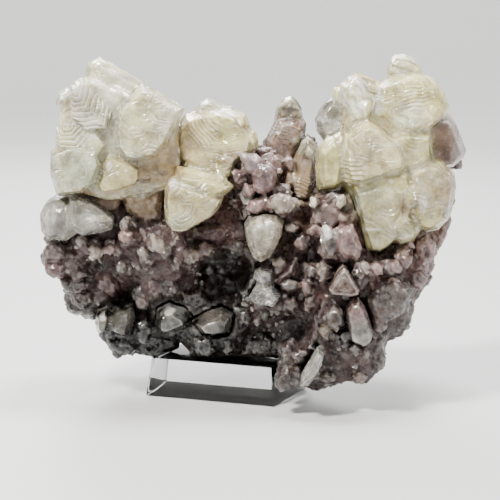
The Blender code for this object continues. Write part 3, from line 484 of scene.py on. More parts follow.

# Places where a crystal's colour changes: across, up, half sizes, colour and strength. The WHITE patches
# are mostly painted highlights on facets, and partly white streaks in the stone.
CRYSTAL_STAINS_AND_HIGHLIGHTS = (
    (-44, 97, 9, 6, GREY_WHITE, 0.7), (-50, 86, 6, 6, (206, 202, 178), 0.5),
    (-54, 93.4, 2.4, 2.6, WHITE, 1.0), (-59, 91.4, 2.2, 2, WHITE, 0.9),
    # The patch at (-57.2, 87) is painted shade in the gap between two crystals.
    (-33.2, 93.4, 1.6, 2.4, WHITE, 0.9), (-57.2, 87, 0.8, 4, HONEY, 0.5),
    (-54, 67, 7, 7, GREENISH, 0.7), (-62.2, 69, 1.4, 6, MAUVE_GREY, 0.3),
    (-41, 66, 6.5, 5, HONEY, 0.35), (-29, 68, 7, 5, (196, 168, 116), 0.9), (-25, 73, 4, 5, HONEY, 0.6),
    (-33.5, 64.6, 2.2, 0.8, BROWN, 0.8), (-28, 66.8, 1.6, 0.9, BROWN, 0.7),
    (-44.6, 69, 0.9, 1.6, WHITE, 0.9), (-48.7, 78.3, 1.4, 1.1, WHITE, 0.9),
    (-52, 61, 3, 1.4, HONEY, 0.7), (-42, 61, 4, 1.0, HONEY, 0.5),
    (-20, 78, 4.4, 6, (204, 178, 132), 0.7), (-6, 71, 5, 3, PINK, 0.6),
    (-24.8, 63.6, 1.6, 1.5, WHITE, 1.0), (-22, 52, 5, 2, GREENISH, 0.5),
    (-14, 88, 4, 2.4, GREY_WHITE, 0.9), (-8, 86, 6, 1.6, WHITE, 0.8),
    (31, 90, 5, 7, (230, 224, 202), 0.8), (33.4, 93.4, 1.6, 2.6, WHITE, 1.0),
    (31.4, 87.2, 2.2, 2.0, WHITE, 1.0), (35, 90, 1.2, 1.6, WHITE, 0.8),
    (38.6, 89.4, 1.6, 4, WHITE, 0.8), (48, 84, 6, 5, (242, 239, 214), 0.75),
    (46, 101, 5, 2.4, GREY_WHITE, 0.7), (45, 99, 2.6, 2, WHITE, 0.6), (57, 84, 1.8, 2.2, MAUVE, 0.35),
    (57, 77.5, 2.6, 4, (170, 140, 114), 0.6), (62.6, 73, 2.2, 3.6, (200, 190, 184), 0.7),
    (60, 83.4, 3, 1.6, (196, 182, 176), 0.6), (64, 78, 0.8, 4, WHITE, 0.5),
    (45, 57.5, 2.0, 3.4, HONEY, 0.8), (45.5, 57, 1.0, 2.6, RUST, 0.35),
    (52.2, 58.6, 2.2, 2.8, GREY_WHITE, 0.9), (59.6, 61, 2.6, 8, PINK, 0.6),
    (23, 67.6, 3.4, 5, HONEY, 0.22), (28, 84, 1.6, 2.6, HONEY, 0.45), (41, 79.4, 5, 3, HONEY, 0.16),
    (38, 60, 8, 3, GREENISH, 0.4), (37, 73, 8.6, 8, (220, 206, 178), 0.5),
    (38, 52, 6, 8, (206, 196, 156), 0.6), (36.5, 49.6, 2.6, 0.5, WHITE, 0.8),
    (47, 47.6, 1.6, 0.6, WHITE, 0.7), (52, 57.6, 1.3, 2.6, WHITE, 0.6), (27.6, 71, 0.7, 5, WHITE, 0.35),
    (41, 75.6, 2.8, 0.5, WHITE, 0.6), (51, 75, 5, 4, (212, 204, 146), 0.7),
    (54, 62, 6, 9, (200, 184, 154), 0.7), (45.6, 49.6, 4, 4, (222, 216, 192), 0.6),
    (11, 88, 5, 3.4, GREY_WHITE, 0.9), (11.6, 86.4, 2.2, 0.7, DARK, 0.85),
    (12.4, 83.4, 2.6, 1.2, MAUVE_GREY, 0.6), (3.6, 82, 1.4, 1.4, GREY_WHITE, 0.8),
    (11, 75, 2.8, 1.2, RUST, 0.55), (6.5, 78, 1.4, 0.8, BROWN, 0.5), (7.5, 79.4, 0.7, 0.5, WHITE, 0.9),
    (16.6, 75.4, 4, 3.4, GREY_WHITE, 0.85), (15.4, 64, 3.6, 4, HONEY, 0.45),
    (31.6, 25, 3.4, 4, (172, 134, 132), 0.7), (34, 17, 3.6, 3.4, (200, 196, 188), 0.9),
    (-57, 50, 5, 3, (150, 142, 132), 0.5), (-47.6, 53, 3.4, 1.0, WHITE, 0.6),
    (-61.4, 54.6, 0.8, 3, WHITE, 0.5), (-26, 24.4, 1.7, 1.2, WHITE, 1.0),
    (-46.6, 22.6, 1.1, 1.6, WHITE, 0.7), (-39.6, 25.4, 2.2, 0.6, WHITE, 0.6),
    (1.6, 52.4, 1.0, 2.6, WHITE, 0.5), (4.4, 47.6, 3, 3.4, GREY_WHITE, 0.35),
    (7.4, 48, 2, 5, HONEY, 0.35),
)

# Places where a crystal is clearer or more milky: across, up, half sizes, and its clearness.
CLEAR_SPOTS = (
    (-54, 67, 6, 5, 0.35), (-41, 66, 6, 5, 0.4), (-29, 68, 7, 5, 0.5), (-20, 54, 6, 3, 0.3),
    (11, 87.4, 5, 3.4, 0.85), (8, 78, 7, 4, 0.3), (16.4, 75, 4, 4, 0.8), (15, 64, 4, 6, 0.25),
    (41, 79.4, 5, 3, 0.35), (23, 67, 3.4, 5, 0.4), (38, 60, 8, 3, 0.35), (55, 64, 5, 5, 0.35),
)

# Stains on the matrix: across, up, half sizes, colour and strength. The DARK patch in the pit is painted
# shade.
MATRIX_STAINS_AND_SHADE = (
    (-40, 42, 26, 9, MAUVE_GREY, 0.9), (-34, 22, 20, 10, BROWN_GREY, 0.9), (-38, 59, 14, 5, PINK, 0.5),
    (-12, 48, 9, 4, MAUVE, 0.8), (-8, 36, 9, 7, DARK, 0.75), (-5, 15, 12, 6, BROWN_GREY, 0.9),
    (15, 62, 5, 7, (140, 120, 98), 0.8), (9.6, 45, 2.6, 4, RUST, 0.8),
    (16, 43, 5, 5, MAUVE, 0.7), (25, 52, 9, 8, PINK, 0.7), (29, 56, 3, 4, (140, 124, 104), 0.5),
    (49, 43, 3, 3, RUST, 0.7), (53, 37, 2.4, 2.4, RUST, 0.5), (58, 70, 4, 4, HONEY, 0.7),
    (58.6, 70.4, 2.6, 1.4, BROWN, 0.9), (43, 29, 9, 9, PALE_STREAK, 0.85), (51, 42, 7, 8, PINK, 0.7),
    (22, 25, 4, 8, PINK, 0.8), (11, 7, 6, 7, PALE_STREAK, 0.6), (28, 8, 9, 7, PINK, 0.6),
    (12, 25, 4, 4, BROWN_GREY, 0.7), (-33, 57, 7, 4, MAUVE, 0.4), (-6, 60, 3, 3, BROWN, 0.6),
)

# Larger crystals of the matrix: outline from the front, how far they stand out, and their colour.
MATRIX_CRYSTALS = (
    (((51, 53), (60, 56), (61, 52.6), (58.6, 46), (55.6, 41.6), (51, 43)), 3.0, (136, 104, 94)),
    (((57, 60), (61.4, 64), (62, 59), (60.4, 54), (56, 54)), 2.0, (136, 104, 94)),
    (((-5, 73.6), (1, 72.6), (3.6, 70.6), (0.6, 66.6), (-2, 66.4)), 6.0, (160, 142, 144)),
    (((-0.6, 67), (2, 69.6), (5.6, 69), (7.2, 66), (6.4, 62), (3, 60.2), (0, 61.6)), 6.0, (124, 98, 102)),
    (((3.2, 70), (6.8, 72.8), (8.8, 71.6), (9, 67.5), (7.4, 65.6), (5, 68.6)), 3.0, PINK),
    (((9.2, 71), (10.2, 72.8), (12, 71.6), (12.8, 69), (11.4, 67.4), (9.6, 69)), 2.5, PINK),
    (((7.8, 64), (8.6, 66.6), (10.4, 66), (11, 63), (9.6, 61.4), (8, 61.8)), 2.5, PALE),
    (((-3.2, 62), (-2.4, 63.6), (0.4, 63), (0.6, 60.4), (-1.6, 59.4)), 2.0, PINK),
    (((-2.6, 56), (-1, 58.4), (3.8, 60), (7, 58), (6, 55.2), (0, 54.6)), 3.0, PINK),
    (((5.2, 56.6), (5.6, 59.4), (8, 60.8), (11.4, 60), (12.8, 57), (11, 54.6), (7, 54.6)), 4.0, PALE),
    (((17, 51), (18.4, 56), (22, 58.6), (26, 57.6), (29, 53), (24, 49.6)), 4.0, (140, 122, 118)),
    (((26, 60), (29.4, 61), (31, 56), (31.6, 51.6), (28, 52.4)), 3.0, (150, 138, 116)),
    (((17.2, 56.6), (17.4, 59.2), (18.8, 59.8), (19.6, 57.6), (18.6, 56)), 2.5, GREY_WHITE),
    (((25, 57), (26, 60), (27.8, 60.4), (28.6, 57.6), (26.8, 56.4)), 2.5, GREY_WHITE),
    (((20.6, 49.6), (22, 51), (24, 50), (24.2, 47.4), (22.2, 46.6)), 5.5, WHITE),
    (((20.4, 48), (24, 50), (27, 46.6), (25, 41), (22.6, 40.6), (20.6, 44)), 4.0, PALE_STREAK),
    (((26, 49.6), (30.6, 51.5), (33.4, 44), (32, 40), (27, 41.4), (25, 45)), 5.0, PINK),
    (((13, 46.6), (14.6, 48.6), (17.4, 48), (18, 45), (15.6, 43.6), (13.4, 44.4)), 2.0, MAUVE_GREY),
    (((15, 44), (18, 46), (20.6, 43.4), (19.4, 39), (16, 38.4)), 2.0, MAUVE),
    (((9.4, 51), (11.6, 52.2), (14, 50.6), (12.6, 48.8), (10, 49)), 2.0, PALE),
    (((5.4, 40.6), (8, 41.6), (9.8, 40), (8.6, 38), (6, 38.4)), 2.5, PALE),
    (((9, 39), (13, 40.4), (15.4, 37.4), (13, 34.8), (9.6, 36)), 2.5, MAUVE),
    (((8, 33.6), (10.6, 34.8), (13.6, 34), (14, 31.6), (10.6, 30.8), (8.4, 31.6)), 2.5, PALE_STREAK),
    (((14.6, 33.6), (17.6, 34), (18.4, 30.6), (15.8, 29.2), (14.4, 31)), 2.5, PINK),
    (((15.4, 27.6), (17.6, 28.4), (18.4, 25.6), (17, 23.8), (15.2, 24.8)), 2.5, RUST),
    (((9.4, 28), (12.4, 29.6), (14, 26.4), (12.6, 23.6), (9.8, 24.4)), 2.5, BROWN_GREY),
    (((19.2, 37), (20.6, 39.4), (22.8, 38.6), (22.6, 34.8), (20.4, 33.4)), 3.5, PALE),
    (((16, 37.6), (17.4, 39), (19.4, 38), (19, 35.4), (16.8, 35)), 2.5, MAUVE_GREY),
    (((32.4, 39), (34, 40.2), (36, 38.6), (35, 36), (33, 36.4)), 2.5, PALE),
    (((35.6, 38.4), (37.6, 39.8), (40, 38.4), (39.6, 36), (36.6, 35.6)), 3.0, PINK),
    (((41.4, 39.6), (44, 40.6), (46, 38.4), (45, 36), (42, 36.4)), 3.0, PINK),
    (((34.4, 35), (37.6, 36.6), (41.6, 35.6), (40, 31), (36.4, 29.6), (34.6, 31.5)), 3.5, PINK),
    (((35, 28), (38, 33.6), (44, 35.4), (49, 31), (46, 24), (40, 20.5), (36, 23)), 3.0, PALE_STREAK),
    (((47, 37), (51, 38.6), (53.6, 35), (51.6, 31), (48.4, 32)), 2.5, PINK),
    (((50, 46), (53, 48), (56, 45.6), (55.6, 40.6), (52, 38.8), (50, 42)), 3.5, PINK),
    (((36.2, 23.4), (40, 24), (41.4, 19.6), (38.6, 17.4), (36.6, 18.4)), 3.0, PINK),
    (((36, 16.4), (39.6, 16.6), (40.4, 10), (38.4, 6), (36, 9)), 2.0, PALE_STREAK),
    (((29, 13.6), (31.6, 15.4), (33, 13), (32, 10.6), (29.6, 11)), 3.0, PALE_STREAK),
    (((32.8, 12.6), (34.4, 14), (36, 12.2), (35.2, 9.8), (33.2, 10.2)), 3.0, PINK),
    (((22, 24), (24.6, 26.4), (27, 25.4), (28, 20.6), (25.6, 18), (22.6, 20)), 4.0, PALE_STREAK),
    (((20, 30.6), (24.6, 31), (26, 26), (22, 19), (17.6, 13.4), (16, 15.6), (18.6, 23)), 3.0, MAUVE),
    (((6.4, 4.4), (9.4, 8), (14, 7.6), (16, 4), (13.4, 1.4), (8, -0.4), (6.6, 1.4)), 3.0, PALE_STREAK),
    (((11.6, 11.6), (14, 13.2), (16.6, 12.6), (15.4, 9.6), (12.4, 9)), 3.0, PINK),
    (((8, 14), (12, 17), (14.6, 14), (13, 9), (9, 8)), 2.5, MAUVE),
    (((20.4, 5), (22.4, 6.6), (25.4, 5.6), (25, 3), (21.4, 2.6)), 3.0, PALE),
    (((30, 5), (33, 6.4), (35.4, 4.6), (33.6, 2.2), (30.4, 2.6)), 2.5, PINK),
    (((-51.2, 44), (-49.6, 45.4), (-46.6, 44), (-46.4, 41.2), (-49.6, 40.4)), 3.5, PALE),
    (((-46.6, 44), (-44, 46), (-42, 44.6), (-43, 42.2), (-46, 42)), 3.5, PINK),
    (((-55, 47), (-53, 48.6), (-51, 47.4), (-51.2, 44.8), (-53.6, 44)), 3.0, PALE_STREAK),
    (((-65, 43), (-62.4, 46.6), (-58.6, 45.6), (-57.4, 41.4), (-60.6, 39.6), (-64, 40.4)), 3.0, MAUVE_GREY),
    (((-64.4, 39), (-61, 40.6), (-57.6, 39.6), (-58, 36), (-61.6, 34.6), (-64, 36)), 2.5, MAUVE),
    (((-41.8, 48.6), (-40, 50), (-37, 49), (-37, 46.4), (-39.8, 45.4), (-41.6, 46.6)), 3.5, PINK),
    (((-41, 52.6), (-40, 53.6), (-38, 52.4), (-38.4, 50), (-40.4, 49.8)), 3.0, PALE_STREAK),
    (((-32, 47.6), (-31, 48.6), (-27.6, 46), (-26.4, 43), (-28.4, 41.8), (-31, 43.4)), 4.0, PALE),
    (((-36, 43.4), (-34, 44.6), (-31.6, 42.4), (-32, 39.6), (-34.6, 39.4)), 3.5, PALE_STREAK),
    (((-42.6, 39.4), (-41, 40.8), (-38.8, 39.4), (-39.2, 36.4), (-41.8, 36.4)), 3.0, PALE_STREAK),
    (((-20.6, 41.6), (-19.4, 43.8), (-16.6, 43.2), (-16.4, 40.4), (-18.8, 39)), 3.5, PALE),
    (((-17, 45), (-15, 46), (-12, 44), (-13, 41.4), (-16, 41.4)), 2.5, MAUVE),
    (((-15.6, 38), (-14, 40), (-11.4, 39), (-11.6, 36), (-14, 35.4)), 3.0, PALE_STREAK),
    (((-26, 40), (-24, 41.6), (-21.8, 40), (-22.6, 36.8), (-25.2, 37)), 2.5, MAUVE_GREY),
    (((-20, 50), (-12, 51.6), (-5, 51), (-5.4, 47.4), (-12, 45.4), (-19, 46.4)), 2.5, MAUVE),
    (((-49, 36.4), (-44, 37), (-40.6, 32), (-43, 29), (-48.6, 30)), 2.0, PINK),
    (((-56, 30.6), (-50, 31), (-48.6, 27.6), (-52, 24.6), (-56, 27)), 2.0, BROWN_GREY),
    (((-33, 35), (-28, 36), (-26, 31), (-30, 28), (-34, 30)), 2.0, MAUVE),
    (((-36.6, 29), (-34.4, 30.4), (-32, 28), (-32.6, 25), (-35.8, 25.4)), 2.5, PINK),
    (((-36, 21), (-33, 22), (-30.6, 18.6), (-32.4, 14.6), (-35.4, 15)), 2.0, BROWN_GREY),
    (((-45, 16), (-38, 17), (-35, 13.6), (-38, 11), (-43.4, 12.4)), 1.5, BROWN_GREY),
    (((-18.6, 16.6), (-13, 17.4), (-11.6, 12.4), (-14, 10.6), (-18, 11)), 2.0, BROWN_GREY),
    (((-9.4, 16), (-7.4, 16.6), (-6, 13), (-7.8, 11), (-9.4, 12)), 2.0, MAUVE_GREY),
    (((-5, 24.6), (-2, 25.4), (0, 22.6), (-1.6, 20), (-4.4, 21)), 2.5, MAUVE_GREY),
    (((1.8, 25.4), (4, 26), (5.4, 23.6), (4, 21.4), (2, 22.4)), 2.5, MAUVE_GREY),
    (((-41, 61.4), (-34, 63), (-28, 62), (-28.4, 53), (-33, 50.6), (-39, 55)), 9.0, (176, 150, 118)),
    (((-50, 59), (-45, 60.6), (-40, 59.6), (-42, 55.6), (-46, 54.6)), 7.0, (150, 124, 104)),
    (((-40, 21), (-32, 22), (-22, 18), (-23, 13), (-31, 10.4), (-38, 12)), 0.6, BROWN_GREY),
    (((-29, 38), (-24, 36), (-22, 30), (-27, 28), (-30, 32)), 1.5, MAUVE_GREY),
    (((-22, 31), (-16, 31.6), (-12, 27), (-18, 24.6), (-23, 27)), 1.5, BROWN_GREY),
    (((-60, 34.6), (-54, 36), (-50, 33), (-53, 29.4), (-58, 30.4)), 1.5, MAUVE_GREY),
)

# Stone that bridges the gap between the matrix and its lower lobe, just above the block.
BRIDGE = ((-4, 10.9), (-3, 16.6), (5, 17.6), (13, 16.4), (14, 10.4), (8, 10.2))
BRIDGE_DEPTH = -16.0

# Small accents of colour on the crystals of the matrix; the DARK ones are painted shade in its pit and
# hollows.
CRUST_STAINS_AND_SHADE = (
    (16.6, 26.3, 0.9, 1.1, RUST, 0.9), (-39.4, 47.6, 0.8, 0.8, RUST, 0.9), (41.6, 34, 1.6, 0.7, RUST, 0.7),
    (52.6, 36.6, 1.8, 1.0, RUST, 0.6), (49, 42, 1.1, 1.6, BROWN, 0.9), (14.6, 52, 2.4, 3.4, BROWN, 0.8),
    (9.6, 45.4, 2.2, 3.8, BROWN, 0.85), (37, 32, 1.4, 1.8, RUST, 0.35), (-36.6, 30.6, 2.2, 3, DARK, 0.9),
    (-48.6, 38.4, 3.4, 1.8, DARK, 0.8), (-56, 42.6, 2, 2.4, BROWN_GREY, 0.5), (25, 9, 3.4, 5, DARK, 0.6),
    (2, 59.6, 3.4, 0.8, DARK, 0.8), (-5, 60.6, 2.4, 1.6, DARK, 0.7), (21.6, 18.4, 1.6, 2, HONEY, 0.6),
    (-8, 36, 9, 8, DARK, 0.95), (43, 28, 2, 8, PALE, 0.3), (27.6, 29.6, 5, 0.9, DARK, 0.5),
)

# Growth zones of the triangular crystal: how far in from its edge each begins, and its colour.
TRIANGLE_ZONES = ((-9.0, (122, 98, 90)), (1.1, (80, 38, 32)), (1.6, (110, 82, 72)),
                  (2.3, (78, 44, 36)), (2.7, (106, 82, 58)))

# Places on the matrix that stay smooth, without small crystals: across, up and half sizes.
SMOOTH_PLACES = (
    (43, 26, 9, 11), (20, 22, 5, 9), (-34, 58, 9, 6), (-45, 33, 9, 6), (-28, 33, 10, 7), (3, 65, 5, 5),
    (22, 54, 5, 5), (29, 46, 5, 6), (11, 12, 5, 8), (17, 42, 4, 4), (-8, 36, 8, 8), (15, 64, 4, 6),
    (-34, 20, 24, 8), (-8, 18, 12, 8), (30, 9, 9, 8), (-58, 38, 6, 5), (-12, 49, 8, 4),
)


def place(across, up, depth):
    """The point at this depth, in metres, that the front view shows at this place."""
    rise = up - VIEW_MIDDLE[1]
    sine, cosine = math.sin(VIEW_RISE), math.cos(VIEW_RISE)
    height = rise * (1 + depth * cosine / VIEW_DISTANCE) - depth * sine
    height /= cosine + rise * sine / VIEW_DISTANCE
    distance = VIEW_DISTANCE + depth * cosine - height * sine
    point = Vector((across * distance / VIEW_DISTANCE, depth, height + VIEW_MIDDLE[1]))
    return (point + SHIFT) * MM


def sight_line():
    """Where the front view is taken from, in metres."""
    behind = Vector((0.0, -VIEW_DISTANCE * math.cos(VIEW_RISE), VIEW_DISTANCE * math.sin(VIEW_RISE)))
    return (behind + Vector((0.0, 0.0, VIEW_MIDDLE[1])) + SHIFT) * MM


def depth_of(tree, across, up):
    """How deep the surface behind a place of the front view is, in millimetres."""
    start = sight_line()
    towards = (place(across, up, 0) - start).normalized()
    hit, _, _, _ = tree.ray_cast(start, towards)
    return hit.y / MM - SHIFT.y if hit else None


def seen_at(points):
    """Where the front view shows points that are given in metres: across and up."""
    local = points / MM - np.array(SHIFT)
    sine, cosine = math.sin(VIEW_RISE), math.cos(VIEW_RISE)
    height = local[:, 2] - VIEW_MIDDLE[1]
    distance = VIEW_DISTANCE + local[:, 1] * cosine - height * sine
    across = local[:, 0] * VIEW_DISTANCE / distance
    up = VIEW_MIDDLE[1] + VIEW_DISTANCE * (height * cosine + local[:, 1] * sine) / distance
    return across, up


def waves(points, size, seed):
    """A smooth uneven field between about -1 and 1, whose features have this size in millimetres."""
    dice = random.Random(seed)
    total = np.zeros(len(points))
    for _ in range(WAVES):
        direction = Vector((dice.gauss(0, 1), dice.gauss(0, 1), dice.gauss(0, 1))).normalized()
        pace = dice.uniform(*WAVE_PACES)
        phase = dice.uniform(0, 6.3)
        total += np.sin(points @ np.array(direction) * math.tau * pace / (size * MM) + phase)
    return total / WAVE_TOP


def ramp(value, start, width):
    """0 up to the start, then rising to 1 over the width."""
    return np.clip((value - start) / width, 0, 1)


def blend(tints, colour, share):
    """Moves the tints towards a colour, each by its own share."""
    tints += (linear(colour) - tints) * share[:, None]


def activate(piece):
    """Makes a piece the one that operators work on."""
    bpy.ops.object.select_all(action="DESELECT")
    piece.select_set(True)
    bpy.context.view_layer.objects.active = piece


def apply(piece, kind, **settings):
    """Adds a modifier to the piece and applies it."""
    activate(piece)
    step = piece.modifiers.new(kind.title(), kind)
    for name, value in settings.items():
        setattr(step, name, value)
    bpy.ops.object.modifier_apply(modifier=step.name)


def corners_of(piece):
    """The places of a mesh's corners, in metres."""
    found = np.empty(len(piece.data.vertices) * 3)
    piece.data.vertices.foreach_get("co", found)
    return found.reshape(-1, 3)


def normals_of(piece):
    """The directions in which a mesh's corners face."""
    found = np.empty(len(piece.data.vertices) * 3)
    piece.data.vertex_normals.foreach_get("vector", found)
    return found.reshape(-1, 3)


def move_corners(piece, points):
    """Sets a mesh's corners to new places."""
    piece.data.vertices.foreach_set("co", points.ravel())
    piece.data.update()


def crystal_planes(one):
    """The faces of one crystal, as points and outward normals in metres."""
    front, widest, back = one["depths"]
    corners = [place(across, up, widest) for across, up in one["outline"]]
    middle = sum(corners, Vector()) / len(corners)
    edges = []
    for start, end in zip(corners, corners[1:] + corners[:1]):
        along = end - start
        outward = Vector((along.z, 0.0, -along.x)).normalized()
        if (start - middle).dot(outward) < 0:
            outward.negate()
        edges.append((start, outward))
    inner = min((start - middle).dot(outward) for start, outward in edges) * (1 - one["table"])
    planes = []
    for start, outward in edges:
        for side, depth in ((-1, (widest - front) * MM), (1, (back - widest) * MM)):
            for slope in one["slopes"]:
                angle = math.radians(slope)
                normal = outward * math.cos(angle) + Vector((0.0, side * math.sin(angle), 0.0))
                if slope == one["slopes"][0]:
                    distance = inner * math.cos(angle)
                else:
                    distance = math.hypot(inner * math.cos(angle), depth * math.sin(angle))
                planes.append((start - outward * inner + normal * distance, normal))
    face = Vector((one["tilt"][0], -1.0, one["tilt"][1])).normalized()
    shift = SHIFT.y * MM
    planes.append((Vector((middle.x, front * MM + shift, middle.z)), face))
    planes.append((Vector((middle.x, back * MM + shift, middle.z)), Vector((0.0, 1.0, 0.0))))
    return middle, planes, edges


def cut_to_planes(name, middle, reach, planes):
    """A block of stone, cut back to each plane in turn."""
    bpy.ops.object.select_all(action="DESELECT")
    bpy.ops.mesh.primitive_cube_add(size=2 * reach * MM, location=middle)
    piece = bpy.context.object
    piece.name = name
    bpy.ops.object.transform_apply(location=True, rotation=False, scale=False)
    bpy.ops.object.mode_set(mode="EDIT")
    for point, normal in planes:
        bpy.ops.mesh.select_all(action="SELECT")
        bpy.ops.mesh.bisect(plane_co=point, plane_no=normal, use_fill=True, clear_outer=True)
    bpy.ops.mesh.select_all(action="SELECT")
    bpy.ops.mesh.remove_doubles(threshold=CLOSEST_CORNERS * MM)
    bpy.ops.mesh.convex_hull()
    bpy.ops.object.mode_set(mode="OBJECT")
    return piece


def edge_distance(points, middle, edges):
    """How far out towards the crystal's outline each point lies from the middle, in metres."""
    along = np.full(len(points), -1.0)
    for _, outward in edges:
        along = np.maximum(along, (points[:, 0] - middle.x) * outward.x
                           + (points[:, 2] - middle.z) * outward.z)
    return along


def terrace_steps(points, terrace, edges):
    """The number of growth steps up to each point, and how strong the steps are there."""
    centre = place(*terrace["centre"], 0)
    across = points[:, 0] - centre.x
    up = points[:, 2] - centre.z
    if terrace["kind"] == "bands":
        angle = terrace["angle"]
        along = across * math.cos(angle) + up * math.sin(angle)
    else:
        along = edge_distance(points, centre, edges)
    pitch = terrace["pitch"] * MM
    steps = along / pitch + terrace["wobble"] * waves(points, STEP_WOBBLE, seed=int(centre.x * 1e5))
    away = np.hypot(across, up) / (terrace["reach"] * MM)
    strength = terrace["height"] * ramp(-away, -1.15, 0.3)
    if terrace["wobble"] > PATCHY_FROM:
        strength *= np.clip(0.45 + 1.3 * waves(points, STEP_PATCH, seed=41), 0, 1)
    return steps, strength


def thin(piece):
    """Takes faces out of the flattest places, where a piece has more than it needs."""
    count = sum(len(face.vertices) - 2 for face in piece.data.polygons)
    if count > MOST_FACES:
        apply(piece, "DECIMATE", ratio=MOST_FACES / count)


def distances_outside(points, all_planes):
    """How far each point lies outside each crystal, in metres."""
    found = []
    for planes in all_planes:
        away = np.full(len(points), -1.0)
        for point, normal in planes:
            away = np.maximum(away, (points - np.array(point)) @ np.array(normal))
        found.append(away)
    return np.array(found)


def write_steps(piece, skin):
    """Keeps the run of the strongest growth steps at each corner, for the finest relief."""
    forms, all_planes, all_edges = skin
    points, normals = corners_of(piece), normals_of(piece)
    away = distances_outside(points, all_planes)
    owner = away.argmin(axis=0)
    values = np.zeros((len(points), 4))
    for number, (one, edges) in enumerate(zip(forms, all_edges)):
        mine = owner == number
        for terrace in one["terraces"]:
            steps, strength = terrace_steps(points[mine], terrace, edges)
            stronger = strength > values[mine, 1]
            values[mine, 0] = np.where(stronger, steps, values[mine, 0])
            values[mine, 1] = np.where(stronger, strength, values[mine, 1])
    if len(forms) > 1:
        nearest = np.sort(away, axis=0)
        values[:, 1] *= ramp(nearest[1] - nearest[0], 0.0, STEP_END * MM)
    values[:, 1] *= ramp(-normals[:, 1], -0.4, 0.5) / STRONGEST_STEP
    layer = piece.data.color_attributes.new("steps", "FLOAT_COLOR", "POINT")
    layer.data.foreach_set("color", values.ravel())


def grow_steps(piece, forms, all_planes, all_edges):
    """Puts the growth steps and the slight unevenness of natural faces on a group of crystals."""
    points, normals = corners_of(piece), normals_of(piece)
    owner = distances_outside(points, all_planes).argmin(axis=0)
    facing = ramp(-normals[:, 1], -0.25, 0.5)
    (small, small_rise), (large, large_rise) = FACE_UNEVENNESS
    rise = small_rise * MM * waves(points, small, seed=3) * (0.4 + 0.6 * facing)
    rise += large_rise * MM * waves(points, large, seed=4)
    for number, (one, edges) in enumerate(zip(forms, all_edges)):
        mine = owner == number
        for terrace in one["terraces"]:
            steps, height = terrace_steps(points[mine], terrace, edges)
            tread = steps - np.floor(steps)
            riser = ramp(tread, 1 - RISER, RISER)
            rise[mine] += STEP_RISE * height * MM * (0.5 - tread + riser) * facing[mine]
    move_corners(piece, points + normals * rise[:, None])


def grown_crystals(name, forms):
    """Crystals that have grown into one another, as one skin, and their faces."""
    bodies, all_planes, all_edges = [], [], []
    for number, one in enumerate(forms):
        middle, planes, edges = crystal_planes(one)
        bodies.append(cut_to_planes(f"{name}_{number}", middle, CRYSTAL_REACH, planes))
        all_planes.append(planes)
        all_edges.append(edges)
    activate(bodies[0])
    for body in bodies[1:]:
        body.select_set(True)
    if len(bodies) > 1:
        bpy.ops.object.join()
    piece = bpy.context.object
    piece.name = name
    piece.data.name = name
    apply(piece, "REMESH", mode="VOXEL", voxel_size=GROUP_GRAIN * MM)
    if len(bodies) > 1:
        apply(piece, "DISPLACE", strength=GROOVE_FILL * MM, mid_level=0.0)
        apply(piece, "REMESH", mode="VOXEL", voxel_size=GROUP_GRAIN * MM)
        apply(piece, "DISPLACE", strength=-GROOVE_FILL * MM, mid_level=0.0)
    apply(piece, "SMOOTH", factor=0.5, iterations=1)
    grow_steps(piece, forms, all_planes, all_edges)
    thin(piece)
    bpy.ops.object.shade_smooth()
    skin = (forms, all_planes, all_edges)
    write_steps(piece, skin)
    return piece, skin


def hollows(piece, rounds):
    """How far each corner lies below the surface's own running level, in millimetres."""
    level = piece.copy()
    level.data = piece.data.copy()
    bpy.context.scene.collection.objects.link(level)
    apply(level, "SMOOTH", factor=1.0, iterations=rounds)
    found = np.einsum("ij,ij->i", corners_of(level) - corners_of(piece), normals_of(piece)) / MM
    bpy.data.objects.remove(level, do_unlink=True)
    return found


def linear(colour):
    """The light that a colour out of 255 stands for."""
    part = np.array(colour) / 255
    return np.where(part <= 0.04045, part / 12.92, ((part + 0.055) / 1.055) ** 2.4)


def stain(piece, tints, stains):
    """Lays soft-edged patches of colour over the tints of a piece, where it faces the front."""
    points, normals = corners_of(piece), normals_of(piece)
    across, up = seen_at(points)
    facing = ramp(-normals[:, 1], -0.55, 0.35)
    uneven = waves(points, 2.6, seed=21)
    for spot_across, spot_up, half_across, half_up, colour, strength in stains:
        away = np.hypot((across - spot_across) / half_across, (up - spot_up) / half_up)
        share = np.clip((1.15 - away + 0.22 * uneven) / 0.3, 0, 1) * strength * facing
        blend(tints, colour, share)


def write_tint(piece, tints, clearness):
    """Keeps the colour of each corner of the mesh, and how see-through the stone is there."""
    layer = piece.data.color_attributes.new("tint", "FLOAT_COLOR", "POINT")
    values = np.ones((len(tints), 4))
    values[:, :3] = tints
    values[:, 3] = clearness
    layer.data.foreach_set("color", values.ravel())


